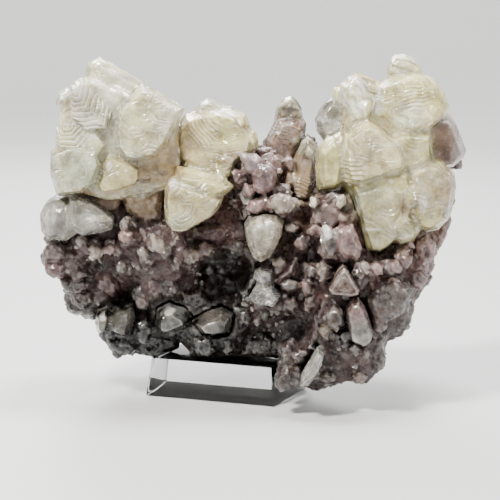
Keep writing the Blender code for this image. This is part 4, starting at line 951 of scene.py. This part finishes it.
def tint_crystals(piece, skin, colour, other, clearness, zones=()):
    """Gives a group its two running colours, honey contacts, zones, and the stains on its front, with
    painted shade in its hollows and towards its foot, and painted highlights on its ridges and facets.
    """
    _, all_planes, all_edges = skin
    points = corners_of(piece)
    across, up = seen_at(points)
    away = distances_outside(points, all_planes)
    owner = away.argmin(axis=0)
    dice = random.Random(SEED)
    mixes = np.array([dice.uniform(-0.5, 0.5) for _ in all_planes])
    share = np.clip(0.5 + mixes[owner] + 0.5 * waves(points, COLOUR_RUN, seed=8), 0, 1)[:, None]
    tints = linear(colour) + (linear(other) - linear(colour)) * share
    if len(all_planes) > 1:
        nearest = np.sort(away, axis=0)
        apart = nearest[1] - nearest[0]
        contact = np.clip(1 - apart / (CONTACT_WIDTH * MM), 0, 1)
        contact *= CONTACT_HONEY * np.clip(0.1 + 1.3 * waves(points, CONTACT_PATCH, seed=15), 0, 1)
        blend(tints, HONEY, contact)
        blend(tints, WHITE, SEAM_WHITE * np.clip(1 - apart / (SEAM_WIDTH * MM), 0, 1))
    # Painted shade in the hollows and a painted highlight on the ridges.
    deep = hollows(piece, 40)
    tints *= (1 - HOLLOW_SHADE * np.clip(deep / 0.35, 0, 1))[:, None]
    blend(tints, WHITE, RIDGE_HIGHLIGHT * np.clip(-deep / 0.4 - 0.2, 0, 1))
    # Stains first; the WHITE patches, mostly painted highlights, go on after the shading.
    stain(piece, tints, [one for one in CRYSTAL_STAINS_AND_HIGHLIGHTS if one[4] != WHITE])
    if zones:
        inner = np.full(len(points), 1.0)
        for start, outward in all_edges[0]:
            beyond = (start.x - points[:, 0]) * outward.x + (start.z - points[:, 2]) * outward.z
            inner = np.minimum(inner, beyond)
        inner = inner / MM + 0.25 * waves(points, 3, seed=17)
        for begins, zone in zones:
            tints[inner > begins] = linear(zone)
    # Painted light and shade: lighter towards the top, darker towards the foot.
    shade = MIDDLE_SHADE + SHADE_RISE * (up - HALF_HEIGHT) / HALF_HEIGHT
    tints *= np.clip(shade, LEAST_SHADE, MOST_SHADE)[:, None]
    # Painted highlights: the WHITE patches go on after the shading, so that they stay bright.
    stain(piece, tints, [one for one in CRYSTAL_STAINS_AND_HIGHLIGHTS if one[4] == WHITE])
    clear = clearness * (1 + 0.35 * waves(points, 8, seed=16))
    for spot_across, spot_up, half_across, half_up, value in CLEAR_SPOTS:
        near = np.hypot((across - spot_across) / half_across, (up - spot_up) / half_up)
        weight = ramp(-near, -1.3, 0.6)
        clear += (value - clear) * weight
    write_tint(piece, tints, np.clip(clear, 0, 1))


def new_material(name):
    """A material, its node tree and its surface shader."""
    made = bpy.data.materials.new(name)
    made.use_nodes = True
    tree = made.node_tree
    return made, tree, tree.nodes["Principled BSDF"]


def wire(tree, target, inputs):
    """Fills the inputs of a node: a socket is linked, anything else is set as its value."""
    for name, value in inputs.items():
        if isinstance(value, bpy.types.NodeSocket):
            tree.links.new(value, target.inputs[name])
        else:
            target.inputs[name].default_value = value


def node(tree, kind, inputs=None, **settings):
    """A new node with its settings and its inputs."""
    made = tree.nodes.new(kind)
    for name, value in settings.items():
        setattr(made, name, value)
    wire(tree, made, inputs or {})
    return made


def noise_at(tree, vector, feature, detail=3.0):
    """Uneven grain whose features have this size in millimetres."""
    inputs = {"Vector": vector, "Scale": 1 / (feature * MM), "Detail": detail}
    return node(tree, "ShaderNodeTexNoise", inputs).outputs["Fac"]


def ranged(tree, value, low, high, to_low, to_high):
    """The value moved from one range to another."""
    inputs = {"Value": value, "From Min": low, "From Max": high, "To Min": to_low, "To Max": to_high}
    return node(tree, "ShaderNodeMapRange", inputs).outputs["Result"]


def maths(tree, operation, first, second=0.0):
    """The result of one step of arithmetic in a material."""
    return node(tree, "ShaderNodeMath", {0: first, 1: second}, operation=operation).outputs[0]


def mixed(tree, share, first, second, blend="MIX"):
    """Two colours mixed by a share; each may be a socket or a plain colour."""
    first, second = (
        side if isinstance(side, bpy.types.NodeSocket) else (*linear(side), 1.0)
        for side in (first, second)
    )
    inputs = {0: share, 6: first, 7: second}
    return node(tree, "ShaderNodeMix", inputs, data_type="RGBA", blend_type=blend).outputs[2]


def leaning_faces(tree, vector, size, tilt):
    """Small growth faces that each lean their own way, so that they glitter one by one."""
    cells = node(tree, "ShaderNodeTexVoronoi", {"Vector": vector, "Scale": 1 / (size * MM)})
    spread = {0: cells.outputs["Color"], 1: (2 * tilt,) * 3, 2: (-tilt,) * 3}
    lean = node(tree, "ShaderNodeVectorMath", spread, operation="MULTIPLY_ADD").outputs[0]
    level = node(tree, "ShaderNodeNewGeometry").outputs["Normal"]
    total = node(tree, "ShaderNodeVectorMath", {0: lean, 1: level}, operation="ADD").outputs[0]
    return node(tree, "ShaderNodeVectorMath", {0: total}, operation="NORMALIZE").outputs[0]


def raised(tree, height, distance, strength, below):
    """A normal that follows a height, on top of the normal below it."""
    inputs = {"Height": height, "Distance": distance * MM, "Strength": strength, "Normal": below}
    return node(tree, "ShaderNodeBump", inputs).outputs["Normal"]


def step_edges(tree, level, strength, turn, shade_from, shade):
    """A growth step at each whole level: its height, the painted highlight of its edge and the painted
    shade of its foot.
    """
    tread = maths(tree, "FRACT", level)
    falling = ranged(tree, tread, 0.0, turn, 1.0, 0.0)
    rising = ranged(tree, tread, turn, 1.0, 0.0, 1.0)
    height = maths(tree, "MULTIPLY", maths(tree, "ADD", falling, rising), strength)
    shaded = maths(tree, "MULTIPLY", ranged(tree, tread, shade_from, turn, 0.0, shade), strength)
    return height, maths(tree, "MULTIPLY", rising, strength), shaded


def growth_lines(tree):
    """The growth steps that the mesh keeps at its corners."""
    kept = node(tree, "ShaderNodeVertexColor", layer_name="steps").outputs["Color"]
    parts = node(tree, "ShaderNodeSeparateColor", {0: kept})
    return step_edges(tree, parts.outputs[0], parts.outputs[1], turn=0.76, shade_from=0.45, shade=0.45)


def contour_lines(tree, vector):
    """Jagged growth steps, like the lines of a map, in patches."""
    stretched = node(tree, "ShaderNodeVectorMath", {0: vector, 1: CONTOUR_STRETCH}, operation="MULTIPLY")
    hills = noise_at(tree, stretched.outputs[0], CONTOUR_HILL, 1.2)
    level = maths(tree, "MULTIPLY", hills, CONTOUR_COUNT)
    patch = ranged(tree, noise_at(tree, vector, CONTOUR_PATCH, 1.0), 0.46, 0.6, 0.0, 1.0)
    height, lit, shaded = step_edges(tree, level, patch, turn=0.8, shade_from=0.5, shade=0.4)
    return height, maths(tree, "MULTIPLY", lit, 0.5), shaded


def calcite(name, milk=0.45, roughness=(0.1, 0.3), grain=0.25, edge=0.4, veil=0.3,
            painted_hollow_shade=0.0, depth=1.3, faces=(2.4, 0.1), stepped=False, contours=False, shine=0.5):
    """Calcite: tinted stone with milky depth, white veils, edges paler partly from frosting and partly from
    a painted highlight, painted shade in its hollows, painted highlights and shade on its growth steps, and
    a finely uneven gloss.
    """
    made, tree, shader = new_material(name)
    vector = node(tree, "ShaderNodeTexCoord").outputs["Object"]
    painted = node(tree, "ShaderNodeVertexColor", layer_name="tint")
    shape = node(tree, "ShaderNodeNewGeometry").outputs["Pointiness"]
    milky = ranged(tree, noise_at(tree, vector, 6.0, 4.0), 0.38, 0.62, 0.3, 1.25)
    cloud = noise_at(tree, vector, 4.5, 6.0)
    fine = noise_at(tree, vector, 0.9, 4.0)
    wisps = noise_at(tree, vector, 2.6, 2.0)
    thread = maths(tree, "ABSOLUTE", maths(tree, "SUBTRACT", wisps, 0.5))
    colour = painted.outputs["Color"]
    colour = mixed(tree, ranged(tree, cloud, 0.5, 0.72, 0.0, veil), colour, WHITE)
    colour = mixed(tree, ranged(tree, cloud, 0.5, 0.3, 0.0, 0.7), colour, CLOUD_SHADE, "MULTIPLY")
    colour = mixed(tree, ranged(tree, fine, 0.3, 0.7, 0.35, 0.0), colour, FINE_SHADE, "MULTIPLY")
    colour = mixed(tree, ranged(tree, thread, 0.0, 0.018, veil, 0.0), colour, WHITE)
    # Paler edges: partly frosted edges, partly a painted highlight.
    colour = mixed(tree, ranged(tree, shape, 0.51, 0.58, 0.0, edge), colour, WHITE)
    # Painted shade in the hollows of the surface.
    if painted_hollow_shade:
        colour = mixed(tree, ranged(tree, shape, 0.49, 0.4, 0.0, painted_hollow_shade), colour, DARK)
    normal = leaning_faces(tree, vector, *faces)
    normal = raised(tree, noise_at(tree, vector, 0.7, 6.0), 0.25, grain, normal)
    lines = [(LINE_RELIEF, *growth_lines(tree))] if stepped else []
    lines += [(CONTOUR_RELIEF, *contour_lines(tree, vector))] if contours else []
    for relief, height, lit, shaded in lines:
        normal = raised(tree, height, relief, 1.0, normal)
        # Painted shade at the foot of each growth step and a painted highlight along its edge.
        colour = mixed(tree, shaded, colour, STEP_SHADE, "MULTIPLY")
        colour = mixed(tree, lit, colour, WHITE)
    wire(tree, shader, {
        "Base Color": colour,
        "Normal": normal,
        "Roughness": ranged(tree, noise_at(tree, vector, 2.2), 0.35, 0.65, *roughness),
        "Transmission Weight": maths(tree, "MULTIPLY", painted.outputs["Alpha"], milky),
        "IOR": CALCITE_IOR,
        "Specular IOR Level": shine,
        "Subsurface Weight": milk,
        "Subsurface Radius": (depth * MM, depth * 0.85 * MM, depth * 0.5 * MM),
        "Subsurface Scale": 1.0,
    })
    return made


def acrylic():
    """Clear polished plastic with the faintest handling marks."""
    made, tree, shader = new_material("clear acrylic")
    vector = node(tree, "ShaderNodeTexCoord").outputs["Object"]
    wire(tree, shader, {
        "Base Color": (0.97, 0.985, 0.99, 1.0),
        "Transmission Weight": 1.0,
        "IOR": ACRYLIC_IOR,
        "Roughness": ranged(tree, noise_at(tree, vector, 6.0, 5.0), 0.55, 0.75, 0.015, 0.09),
    })
    return made


def finish_piece(piece, material, slot, *nodes):
    """Dresses a piece, sets it on the body and hides the parts that it stands for."""
    piece.data.materials.clear()
    piece.data.materials.append(material)
    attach(piece, "root")
    if nodes:
        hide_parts(*nodes)


def display_block():
    """The clear block: sides that lean in towards the top, and polished edges."""
    bpy.ops.object.select_all(action="DESELECT")
    middle = Vector((*BLOCK_MIDDLE, BLOCK_HEIGHT / 2)) + SHIFT
    bpy.ops.mesh.primitive_cube_add(size=1.0, location=(0, 0, 0))
    piece = bpy.context.object
    piece.name = "polished_block"
    piece.scale = (BLOCK_LENGTH * MM, BLOCK_DEPTH * MM, BLOCK_HEIGHT * MM)
    bpy.ops.object.transform_apply(location=False, rotation=False, scale=True)
    for corner in piece.data.vertices:
        if corner.co.z > 0:
            corner.co.x -= math.copysign(BLOCK_LEAN * MM, corner.co.x)
            corner.co.y -= math.copysign(BLOCK_LEAN * MM, corner.co.y)
    apply(piece, "BEVEL", width=BLOCK_EDGE * MM, segments=3, limit_method="ANGLE")
    piece.data.transform(Matrix.Translation(middle * MM) @ Matrix.Rotation(BLOCK_TURN, 4, "Z"))
    bpy.ops.object.shade_smooth_by_angle(angle=math.radians(25))
    return piece


def matrix_body():
    """The matrix in its full roughness, over the shape that carries the crystals."""
    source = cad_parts["matrix"]
    piece = source.copy()
    piece.data = source.data.copy()
    piece.name = "rough_matrix"
    piece.data.name = "rough_matrix"
    bpy.context.scene.collection.objects.link(piece)
    activate(piece)
    bpy.ops.object.mode_set(mode="EDIT")
    bpy.ops.mesh.select_all(action="SELECT")
    bpy.ops.mesh.remove_doubles(threshold=0.002 * MM)
    bpy.ops.object.mode_set(mode="OBJECT")
    apply(piece, "REMESH", mode="VOXEL", voxel_size=MATRIX_GRAIN * MM)
    apply(piece, "SMOOTH", factor=0.5, iterations=3)
    level, normals = corners_of(piece), normals_of(piece)
    for size, height in MATRIX_CELLS:
        cells = bpy.data.textures.new("crystal cells", "VORONOI")
        cells.noise_scale = size * MM
        apply(piece, "DISPLACE", texture=cells, texture_coords="LOCAL", strength=-height * MM,
              mid_level=0.5)
    across, up = seen_at(level)
    smoother = SMOOTHER_LEFT * ramp(-up, -40, 12) * ramp(-across, -2, 10)
    points = corners_of(piece)
    move_corners(piece, points + (level - points) * smoother[:, None])
    hollow = np.einsum("ij,ij->i", level - corners_of(piece), normals) / MM
    bpy.ops.object.shade_smooth()
    return piece, hollow


def tint_matrix(body, hollow):
    """Mauve-grey stone with its stains, painted shade in its hollows, pit and lower parts, and painted
    light on its tips.
    """
    points = corners_of(body)
    across, up = seen_at(points)
    share = np.clip(0.5 + 0.5 * waves(points, 18, seed=9), 0, 1)[:, None]
    tints = linear(MAUVE_GREY) + (linear(MAUVE) - linear(MAUVE_GREY)) * share
    stain(body, tints, MATRIX_STAINS_AND_SHADE)
    stain(body, tints, CRUST_STAINS_AND_SHADE)
    # Painted shade in the hollows and painted light on the tips.
    deep = np.clip((hollow - np.median(hollow)) / 1.2, -1, 1)
    tints *= np.where(deep > 0, 1 - 0.5 * deep, 1 - 0.3 * deep)[:, None]
    # Painted shade: darker and warmer low down, most of all at the lower left.
    tints *= painted_low_shade(across, up)
    write_tint(body, tints, 0.1)
    return tints


def small_crystals():
    """Three kinds of small calcite crystal, one unit wide, that grow along +Z."""
    made = []
    for kind, (rim, taper, ends) in enumerate(SMALL_CRYSTALS):
        planes = []
        for side in range(6):
            angle = math.tau * side / 6
            out = Vector((math.cos(angle), math.sin(angle), taper + 0.08 * (side % 2))).normalized()
            planes.append((out * (0.9 + 0.12 * (side % 3)) * MM, out))
        for side in range(3):
            angle = math.tau * (side + 0.5) / 3
            out = Vector((math.cos(angle), math.sin(angle), ends)).normalized()
            planes.append((Vector((0, 0, rim * MM)), out))
        planes.append((Vector((0, 0, -1.2 * MM)), Vector((0, 0, -1))))
        piece = cut_to_planes(f"small_crystal_{kind}", Vector((0, 0, 0)), 4, planes)
        corners = corners_of(piece) / MM
        faces = [tuple(face.vertices) for face in piece.data.polygons]
        made.append((corners, faces))
        bpy.data.objects.remove(piece, do_unlink=True)
    return made


def crystal_mesh(name, kinds, places):
    """Many small crystals as one mesh: each has a place, a direction, a size and a colour."""
    corners, faces, tints = [], [], []
    count = 0
    dice = random.Random(SEED)
    for point, direction, size, length, colour in places:
        shape, shape_faces = kinds[dice.randrange(len(kinds))]
        turn = direction.to_track_quat("Z", "Y").to_matrix() @ Matrix.Rotation(dice.uniform(0, 6.3), 3, "Z")
        stretch = np.array((size * dice.uniform(0.8, 1.2), size, size * length))
        corners.append((shape * stretch * MM) @ np.array(turn).T + np.array(point))
        faces += [tuple(corner + count for corner in face) for face in shape_faces]
        tints.append(np.repeat(np.clip(colour, 0, 1)[None], len(shape), axis=0))
        count += len(shape)
    mesh = bpy.data.meshes.new(name)
    mesh.from_pydata(np.concatenate(corners).tolist(), [], faces)
    piece = bpy.data.objects.new(name, mesh)
    bpy.context.scene.collection.objects.link(piece)
    return piece, np.concatenate(tints)


def sharp_druse(name, kinds, places):
    """A druse whose small crystals keep their sharp edges."""
    piece, tints = crystal_mesh(name, kinds, places)
    write_tint(piece, tints, 0.15)
    return piece


def painted_low_shade(across, up):
    """Painted shade: the stone is painted darker and warmer low down, most of all at the lower left."""
    left = ramp(-up, -LEFT_DARK_BELOW, 16) * ramp(-across, -LEFT_DARK_FROM, 12)
    low = ramp(-up, -DARK_BELOW, 26)
    shade = MATRIX_LIGHT * (1 - LEFT_DARKNESS * left) * (1 - LOW_DARKNESS * low)
    return shade[:, None] ** np.array(WARM_SHADE)


def nearest_tints(piece, sources):
    """The colour of the crystal that each corner of a grown-together crust belongs to."""
    tree = KDTree(len(sources))
    for number, (point, _) in enumerate(sources):
        tree.insert(point, number)
    tree.balance()
    points = corners_of(piece)
    colours = np.array([colour for _, colour in sources])
    tints = np.zeros((len(points), 3))
    total = np.zeros(len(points))
    near = [tree.find_n(point, 3) for point in points]
    for number in range(3):
        owner = np.array([found[number][1] for found in near])
        weight = 1 / (np.array([found[number][2] for found in near]) + 0.3 * MM) ** 3
        tints += colours[owner] * weight[:, None]
        total += weight
    tints /= total[:, None]
    tints *= (1 + CRUST_VARIETY * waves(points, 4, seed=31))[:, None]
    return tints


def matrix_crystal(number, outline, bulge, colour, tree):
    """A larger crystal of the matrix, and the points that carry its colour."""
    middle_across = sum(across for across, _ in outline) / len(outline)
    middle_up = sum(up for _, up in outline) / len(outline)
    deep = BRIDGE_DEPTH if outline is BRIDGE else depth_of(tree, middle_across, middle_up)
    if deep is None:
        return None, []
    one = form(outline, (deep - bulge, deep - bulge + 3.0, deep + 5.0), slopes=(4, 38), table=0.3)
    middle, planes, _ = crystal_planes(one)
    body = cut_to_planes(f"matrix_crystal_{number}", middle, CRYSTAL_REACH, planes)
    sources = []
    for share in (0.0, 0.45, 0.8):
        for across, up in outline:
            point = place(
                middle_across + (across - middle_across) * share,
                middle_up + (up - middle_up) * share,
                deep - bulge * (1 - share),
            )
            sources.append((point, linear(colour)))
    return body, sources


def grown_crust(name, kinds, places, grain, extra=(), extra_sources=()):
    """Crystals of the matrix that have grown into one rounded crust."""
    piece, _ = crystal_mesh(name, kinds, places)
    sources = list(extra_sources)
    for point, direction, size, _, colour in places:
        sources.append((point + direction * size * 0.5 * MM, np.clip(colour, 0, 1)))
    activate(piece)
    for body in extra:
        body.select_set(True)
    if extra:
        bpy.ops.object.join()
    piece.name = name
    apply(piece, "REMESH", mode="VOXEL", voxel_size=grain * MM)
    apply(piece, "SMOOTH", factor=0.6, iterations=4)
    points, normals = corners_of(piece), normals_of(piece)
    rise = 0.12 * MM * waves(points, 2.2, seed=33) + 0.1 * MM * waves(points, 5, seed=34)
    move_corners(piece, points + normals * rise[:, None])
    thin(piece)
    bpy.ops.object.shade_smooth()
    tints = nearest_tints(piece, sources)
    points = corners_of(piece)
    across, up = seen_at(points)
    tints += (linear(MAUVE_GREY) - tints) * 0.25
    # Painted shade in the hollows and painted light on the tips.
    deep = np.clip(hollows(piece, 30) / 0.7, -1, 1)
    tints *= np.where(deep > 0, 1 - 0.4 * deep, 1 - 0.3 * deep)[:, None]
    stain(piece, tints, CRUST_STAINS_AND_SHADE)
    # Painted shade: darker and warmer low down, most of all at the lower left.
    tints *= painted_low_shade(across, up)
    tints = np.clip(tints, 0.004, 0.9)
    write_tint(piece, tints, np.clip(0.3 + 0.25 * waves(points, 5, seed=35), 0, 1))
    return piece, tints


def tree_of(pieces):
    """What is needed to find the surface of the pieces that is nearest to a point."""
    corners, faces = [], []
    for piece in pieces:
        start = len(corners)
        corners += [corner.co.copy() for corner in piece.data.vertices]
        faces += [[start + corner for corner in face.vertices] for face in piece.data.polygons]
    return BVHTree.FromPolygons(corners, faces)


def spread_out(points, spacings, dice):
    """Picks points in a random order, each keeping its own distance from those taken before."""
    cells, chosen = {}, []
    size = float(max(spacings))
    for index in dice.sample(range(len(points)), len(points)):
        point, spacing = points[index], spacings[index]
        key = tuple(int(value) for value in np.floor(point / size))
        near = (
            other
            for x in (-1, 0, 1) for y in (-1, 0, 1) for z in (-1, 0, 1)
            for other in cells.get((key[0] + x, key[1] + y, key[2] + z), ())
        )
        if all(np.dot(point - other, point - other) > spacing * spacing for other in near):
            cells.setdefault(key, []).append(point)
            chosen.append(index)
    return chosen


def crust_places(body, tints, crystals_tree, front, spacing, sizes, share, seed):
    """Where small crystals grow, on the front or on the rest of the matrix."""
    dice = random.Random(seed)
    points, normals = corners_of(body), normals_of(body)
    across, up = seen_at(points)
    side = normals[:, 1] < FRONT_LIMIT if front else normals[:, 1] >= FRONT_LIMIT
    resting = points[:, 2] < RESTING_HEIGHT * MM
    low, high = np.array(cad_bounds[0]), np.array(cad_bounds[1])
    edge = np.minimum(points - low, high - points)[:, :2].min(axis=1) / MM
    wanted = np.nonzero(side & ~(resting & ~front))[0]
    patch = waves(points, 16, seed=14)
    smooth_places = list(SMOOTH_PLACES)
    for outline, _, _ in MATRIX_CRYSTALS:
        spread = np.array(outline)
        low_corner, high_corner = spread.min(axis=0), spread.max(axis=0)
        smooth_places.append((*(low_corner + high_corner) / 2, *(high_corner - low_corner) * 0.45))
    spacings = np.clip(spacing * (1 + 0.3 * patch), 0.8, 9.0) * MM
    chosen = spread_out(points[wanted], spacings[wanted], dice)
    found = []
    for index in wanted[chosen]:
        point, normal = Vector(points[index]), Vector(normals[index])
        _, _, _, away = crystals_tree.find_nearest(point)
        smooth = front and any(
            math.hypot((across[index] - a) / half_a, (up[index] - u) / half_u) < 1
            for a, u, half_a, half_u in smooth_places
        )
        if away < CLOSEST_CRYSTAL * MM or dice.random() > (SMOOTH_SHARE if smooth else share):
            continue
        size = spacing * dice.choice(sizes) * min(1.0, 0.5 + 0.3 * edge[index])
        size *= min(1.0, 0.35 + abs(normal.y))
        if across[index] > RIGHT_RIM:
            continue
        lean = Vector((dice.gauss(0, 1), dice.gauss(0, 1), dice.gauss(0, 1))) * 0.38
        direction = (normal + lean).normalized()
        paler = dice.choice((0.75, 0.9, 1.0, 1.1, 1.3))
        found.append((point - normal * size * 0.3 * MM, direction, size,
                      dice.uniform(0.8, 1.4), tints[index] * paler))
    return found


def camera():
    """The camera of the front view."""
    data = bpy.data.cameras.new("camera")
    data.lens = SENSOR_WIDTH * VIEW_DISTANCE / VIEW_WIDTH
    data.sensor_width = SENSOR_WIDTH
    data.clip_end = 20.0
    seen = bpy.data.objects.new("camera", data)
    seen.location = (Vector((
        VIEW_MIDDLE[0],
        -VIEW_DISTANCE * math.cos(VIEW_RISE),
        VIEW_MIDDLE[1] + VIEW_DISTANCE * math.sin(VIEW_RISE),
    )) + SHIFT) * MM
    seen.rotation_euler = (math.pi / 2 - VIEW_RISE, 0.0, 0.0)
    bpy.context.scene.collection.objects.link(seen)
    bpy.context.scene.camera = seen


def soft_light(name, place_at, aim, size, power, colour):
    """A round soft light that points at its aim."""
    data = bpy.data.lights.new(name, "AREA")
    data.shape = "DISK"
    data.size = size
    data.energy = power
    data.color = colour
    lamp = bpy.data.objects.new(name, data)
    lamp.location = place_at
    lamp.rotation_euler = (Vector(aim) - Vector(place_at)).to_track_quat("-Z", "Y").to_euler()
    bpy.context.scene.collection.objects.link(lamp)


def studio():
    """A pale floor that sweeps up all round, and soft light from above, left and right."""
    bpy.ops.object.select_all(action="DESELECT")
    bpy.ops.mesh.primitive_plane_add(size=FLOOR_WIDTH, location=(0, 0, 0))
    floor = bpy.context.object
    floor.name = "floor"
    bpy.ops.object.mode_set(mode="EDIT")
    bpy.ops.mesh.subdivide(number_cuts=FLOOR_CUTS)
    bpy.ops.object.mode_set(mode="OBJECT")
    for corner in floor.data.vertices:
        corner.co.z = SWEEP * max(0.0, corner.co.xy.length - SWEEP_START) ** 2
    bpy.ops.object.shade_smooth()
    made, tree, shader = new_material("pale floor")
    wire(tree, shader, {"Base Color": FLOOR_COLOUR, "Roughness": 0.55})
    floor.data.materials.append(made)
    world = bpy.data.worlds.new("studio")
    bpy.context.scene.world = world
    world.use_nodes = True
    wire(world.node_tree, world.node_tree.nodes["Background"], {"Color": SKY, "Strength": SKY_STRENGTH})
    for light in LIGHTS:
        soft_light(*light)


def main():
    """The studio, the block, the large crystals, the matrix and its crust, in this order."""
    studio()
    camera()
    finish_piece(display_block(), acrylic(), "clear_acrylic", "display_block")

    stones = {name: calcite(name, **looks) for name, looks in CALCITES.items()}
    crystals = []
    for name, forms, colour, other, clearness, stone, slot, replaced in GROUPS:
        piece, skin = grown_crystals(name, forms)
        zones = TRIANGLE_ZONES if name == "triangle" else ()
        tint_crystals(piece, skin, colour, other, clearness, zones)
        finish_piece(piece, stones[stone], slot, replaced)
        crystals.append(piece)

    body, hollow = matrix_body()
    tints = tint_matrix(body, hollow)
    finish_piece(body, stones["matrix calcite"], "mauve_calcite", "matrix")

    kinds = small_crystals()
    druse = stones["druse calcite"]
    crystals_tree = tree_of(crystals)
    body_tree = tree_of([body])
    large, sources = [], []
    for number, (outline, bulge, colour) in enumerate((*MATRIX_CRYSTALS, (BRIDGE, 3.0, BROWN_GREY))):
        piece, carried = matrix_crystal(number, outline, bulge, colour, body_tree)
        if piece:
            large.append(piece)
            sources += carried
    middling = crust_places(body, tints, crystals_tree, True, *FRONT_CRUST, seed=1)
    front, front_tints = grown_crust("front_crystals", kinds, middling, FRONT_GRAIN, large, sources)
    finish_piece(front, druse, "mauve_calcite")
    far = crust_places(body, tints, crystals_tree, False, *BACK_CRUST, seed=2)
    finish_piece(grown_crust("back_crystals", kinds, far, BACK_GRAIN)[0], druse, "mauve_calcite")
    fine = crust_places(body, tints, crystals_tree, True, *FRONT_DRUSE, seed=3)
    fine += crust_places(front, front_tints, crystals_tree, True, *CRUST_DRUSE, seed=5)
    finish_piece(sharp_druse("front_druse", kinds, fine), druse, "mauve_calcite")
    fine = crust_places(body, tints, crystals_tree, False, *BACK_DRUSE, seed=4)
    finish_piece(sharp_druse("back_druse", kinds, fine), druse, "mauve_calcite")


main()
